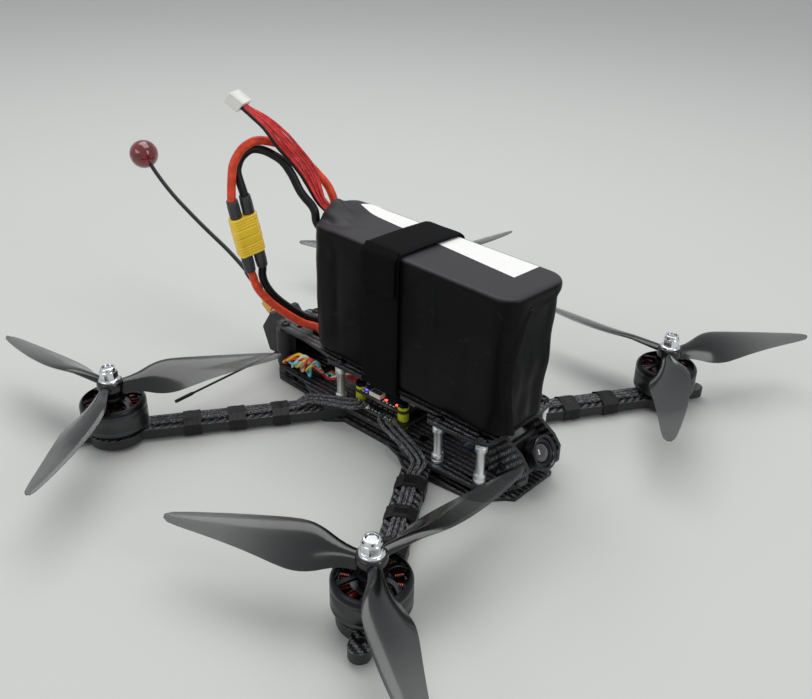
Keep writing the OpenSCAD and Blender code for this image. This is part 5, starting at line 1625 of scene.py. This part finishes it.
class DRONE_OT_antenna(bpy.types.Operator):
    """Antenna with its mount, connector, mast and round cap"""

    bl_idname = "drone.antenna"
    bl_label = "Antenna"

    def execute(self, context):
        refined("antenna_mount", self.printed(), 0.3, 30)
        gold = metal("connector_gold", srgb(214, 176, 96), 0.22, 0.3, 1500)
        refined("sma_connector", gold, 0.15, 30)
        self.mast()
        self.cap(context.scene.drone_colours.antenna_cap)
        return {"FINISHED"}

    def printed(self):
        """Printed flexible plastic with fine layer lines."""
        finish = moulded("mount_print", srgb(24, 24, 25), 0.5, 0.02, 900)
        layer = (finish.axes(finish.place())[2] / (0.24 * MM)).fract().arch()
        grain = finish.noise(finish.place(), 700, 2.0)
        finish.bump(layer + 0.3 * grain, 0.06 * MM, 0.7)
        return finish

    def mast(self):
        """Semi-rigid coax under a black jacket, thicker by the connector."""
        mesh = bmesh.new()
        start = SMA_AT + JACKET_FROM * MM * SMA_WAY
        end = CAP_AT + (MAST_ROUTE[-1] - CAP_AT).normalized() * 8.6 * MM
        line = smooth_line([start] + MAST_ROUTE + [end], 8)
        strand(mesh, line, 1.28 * MM, 16, start=Y)
        collar = [SMA_AT + (JACKET_FROM + step) * MM * SMA_WAY for step in (0, 0.5, 4, 8, 12, 15, 16)]
        strand(mesh, collar, 2.18 * MM, 20, start=Y, shape=lambda t: 1 - 0.32 * max(0, (t - 0.7) / 0.3) ** 2)
        finish = wire_coat("mast_jacket", srgb(20, 20, 21), 0.38)
        shown("antenna_stem", mesh, [finish], 50, "antenna_mast")

    def cap(self, colour):
        """Glossy round cap with a fine seam and a short neck."""
        mesh = bmesh.new()
        way = (CAP_AT - MAST_ROUTE[-1]).normalized()
        place = aimed(CAP_AT, way, Y)
        profile = [(0, CAP_RADIUS)]
        for k in range(1, 30):
            a = math.pi * k / 30
            seam = 0.14 if k == 15 else 0
            profile.append(((CAP_RADIUS - seam) * math.sin(a), CAP_RADIUS * math.cos(a)))
        profile = [p for p in profile if not (p[1] < 0 and p[0] < 2.0)]
        profile += [(1.9, -8.9), (1.34, -8.9), (1.34, -7.2), (0, -7.2)]
        turned(mesh, profile, place, 56)
        finish = Finish("cap_gloss", colour, 0.12, coat_weight=0.8, coat_roughness=0.05)
        soft = finish.noise(finish.place(), 120, 3.0)
        finish.set("Base Color", finish.mix(soft.rise(0.35, 0.7), colour, tinted(colour, 0.55)))
        finish.set("Roughness", 0.1 + 0.12 * soft)
        finish.bump(soft, 0.1 * MM, 0.3)
        shown("antenna_ball", mesh, [finish], 40, "antenna_cap")


# ---- Panel and registration ----

STEPS = (
    "stage", "balance_lead", "power_leads", "battery", "strap", "propellers", "motors", "frame", "camera",
    "electronics", "antenna",
)


class DRONE_PT_panel(bpy.types.Panel):
    """Sizes, colours and pieces of the quadcopter"""

    bl_idname = "DRONE_PT_panel"
    bl_label = "Racing Quadcopter"
    bl_space_type = "VIEW_3D"
    bl_region_type = "UI"
    bl_category = "Quadcopter"

    def draw(self, context):
        for group in (context.scene.drone_sizes, context.scene.drone_colours):
            box = self.layout.box()
            for name in type(group).__annotations__:
                box.prop(group, name)
        for step in STEPS:
            self.layout.operator("drone." + step)


CLASSES = (
    DroneSizes, DroneColours, DRONE_OT_stage, DRONE_OT_balance_lead, DRONE_OT_power_leads, DRONE_OT_battery,
    DRONE_OT_strap, DRONE_OT_propellers, DRONE_OT_motors, DRONE_OT_frame, DRONE_OT_camera,
    DRONE_OT_electronics, DRONE_OT_antenna, DRONE_PT_panel,
)


def register():
    for kind in CLASSES:
        bpy.utils.register_class(kind)
    bpy.types.Scene.drone_sizes = PointerProperty(type=DroneSizes)
    bpy.types.Scene.drone_colours = PointerProperty(type=DroneColours)


def unregister():
    del bpy.types.Scene.drone_colours
    del bpy.types.Scene.drone_sizes
    for kind in reversed(CLASSES):
        bpy.utils.unregister_class(kind)


def main():
    register()
    for step in STEPS:
        getattr(bpy.ops.drone, step)()


if __name__ == "__main__":
    main()
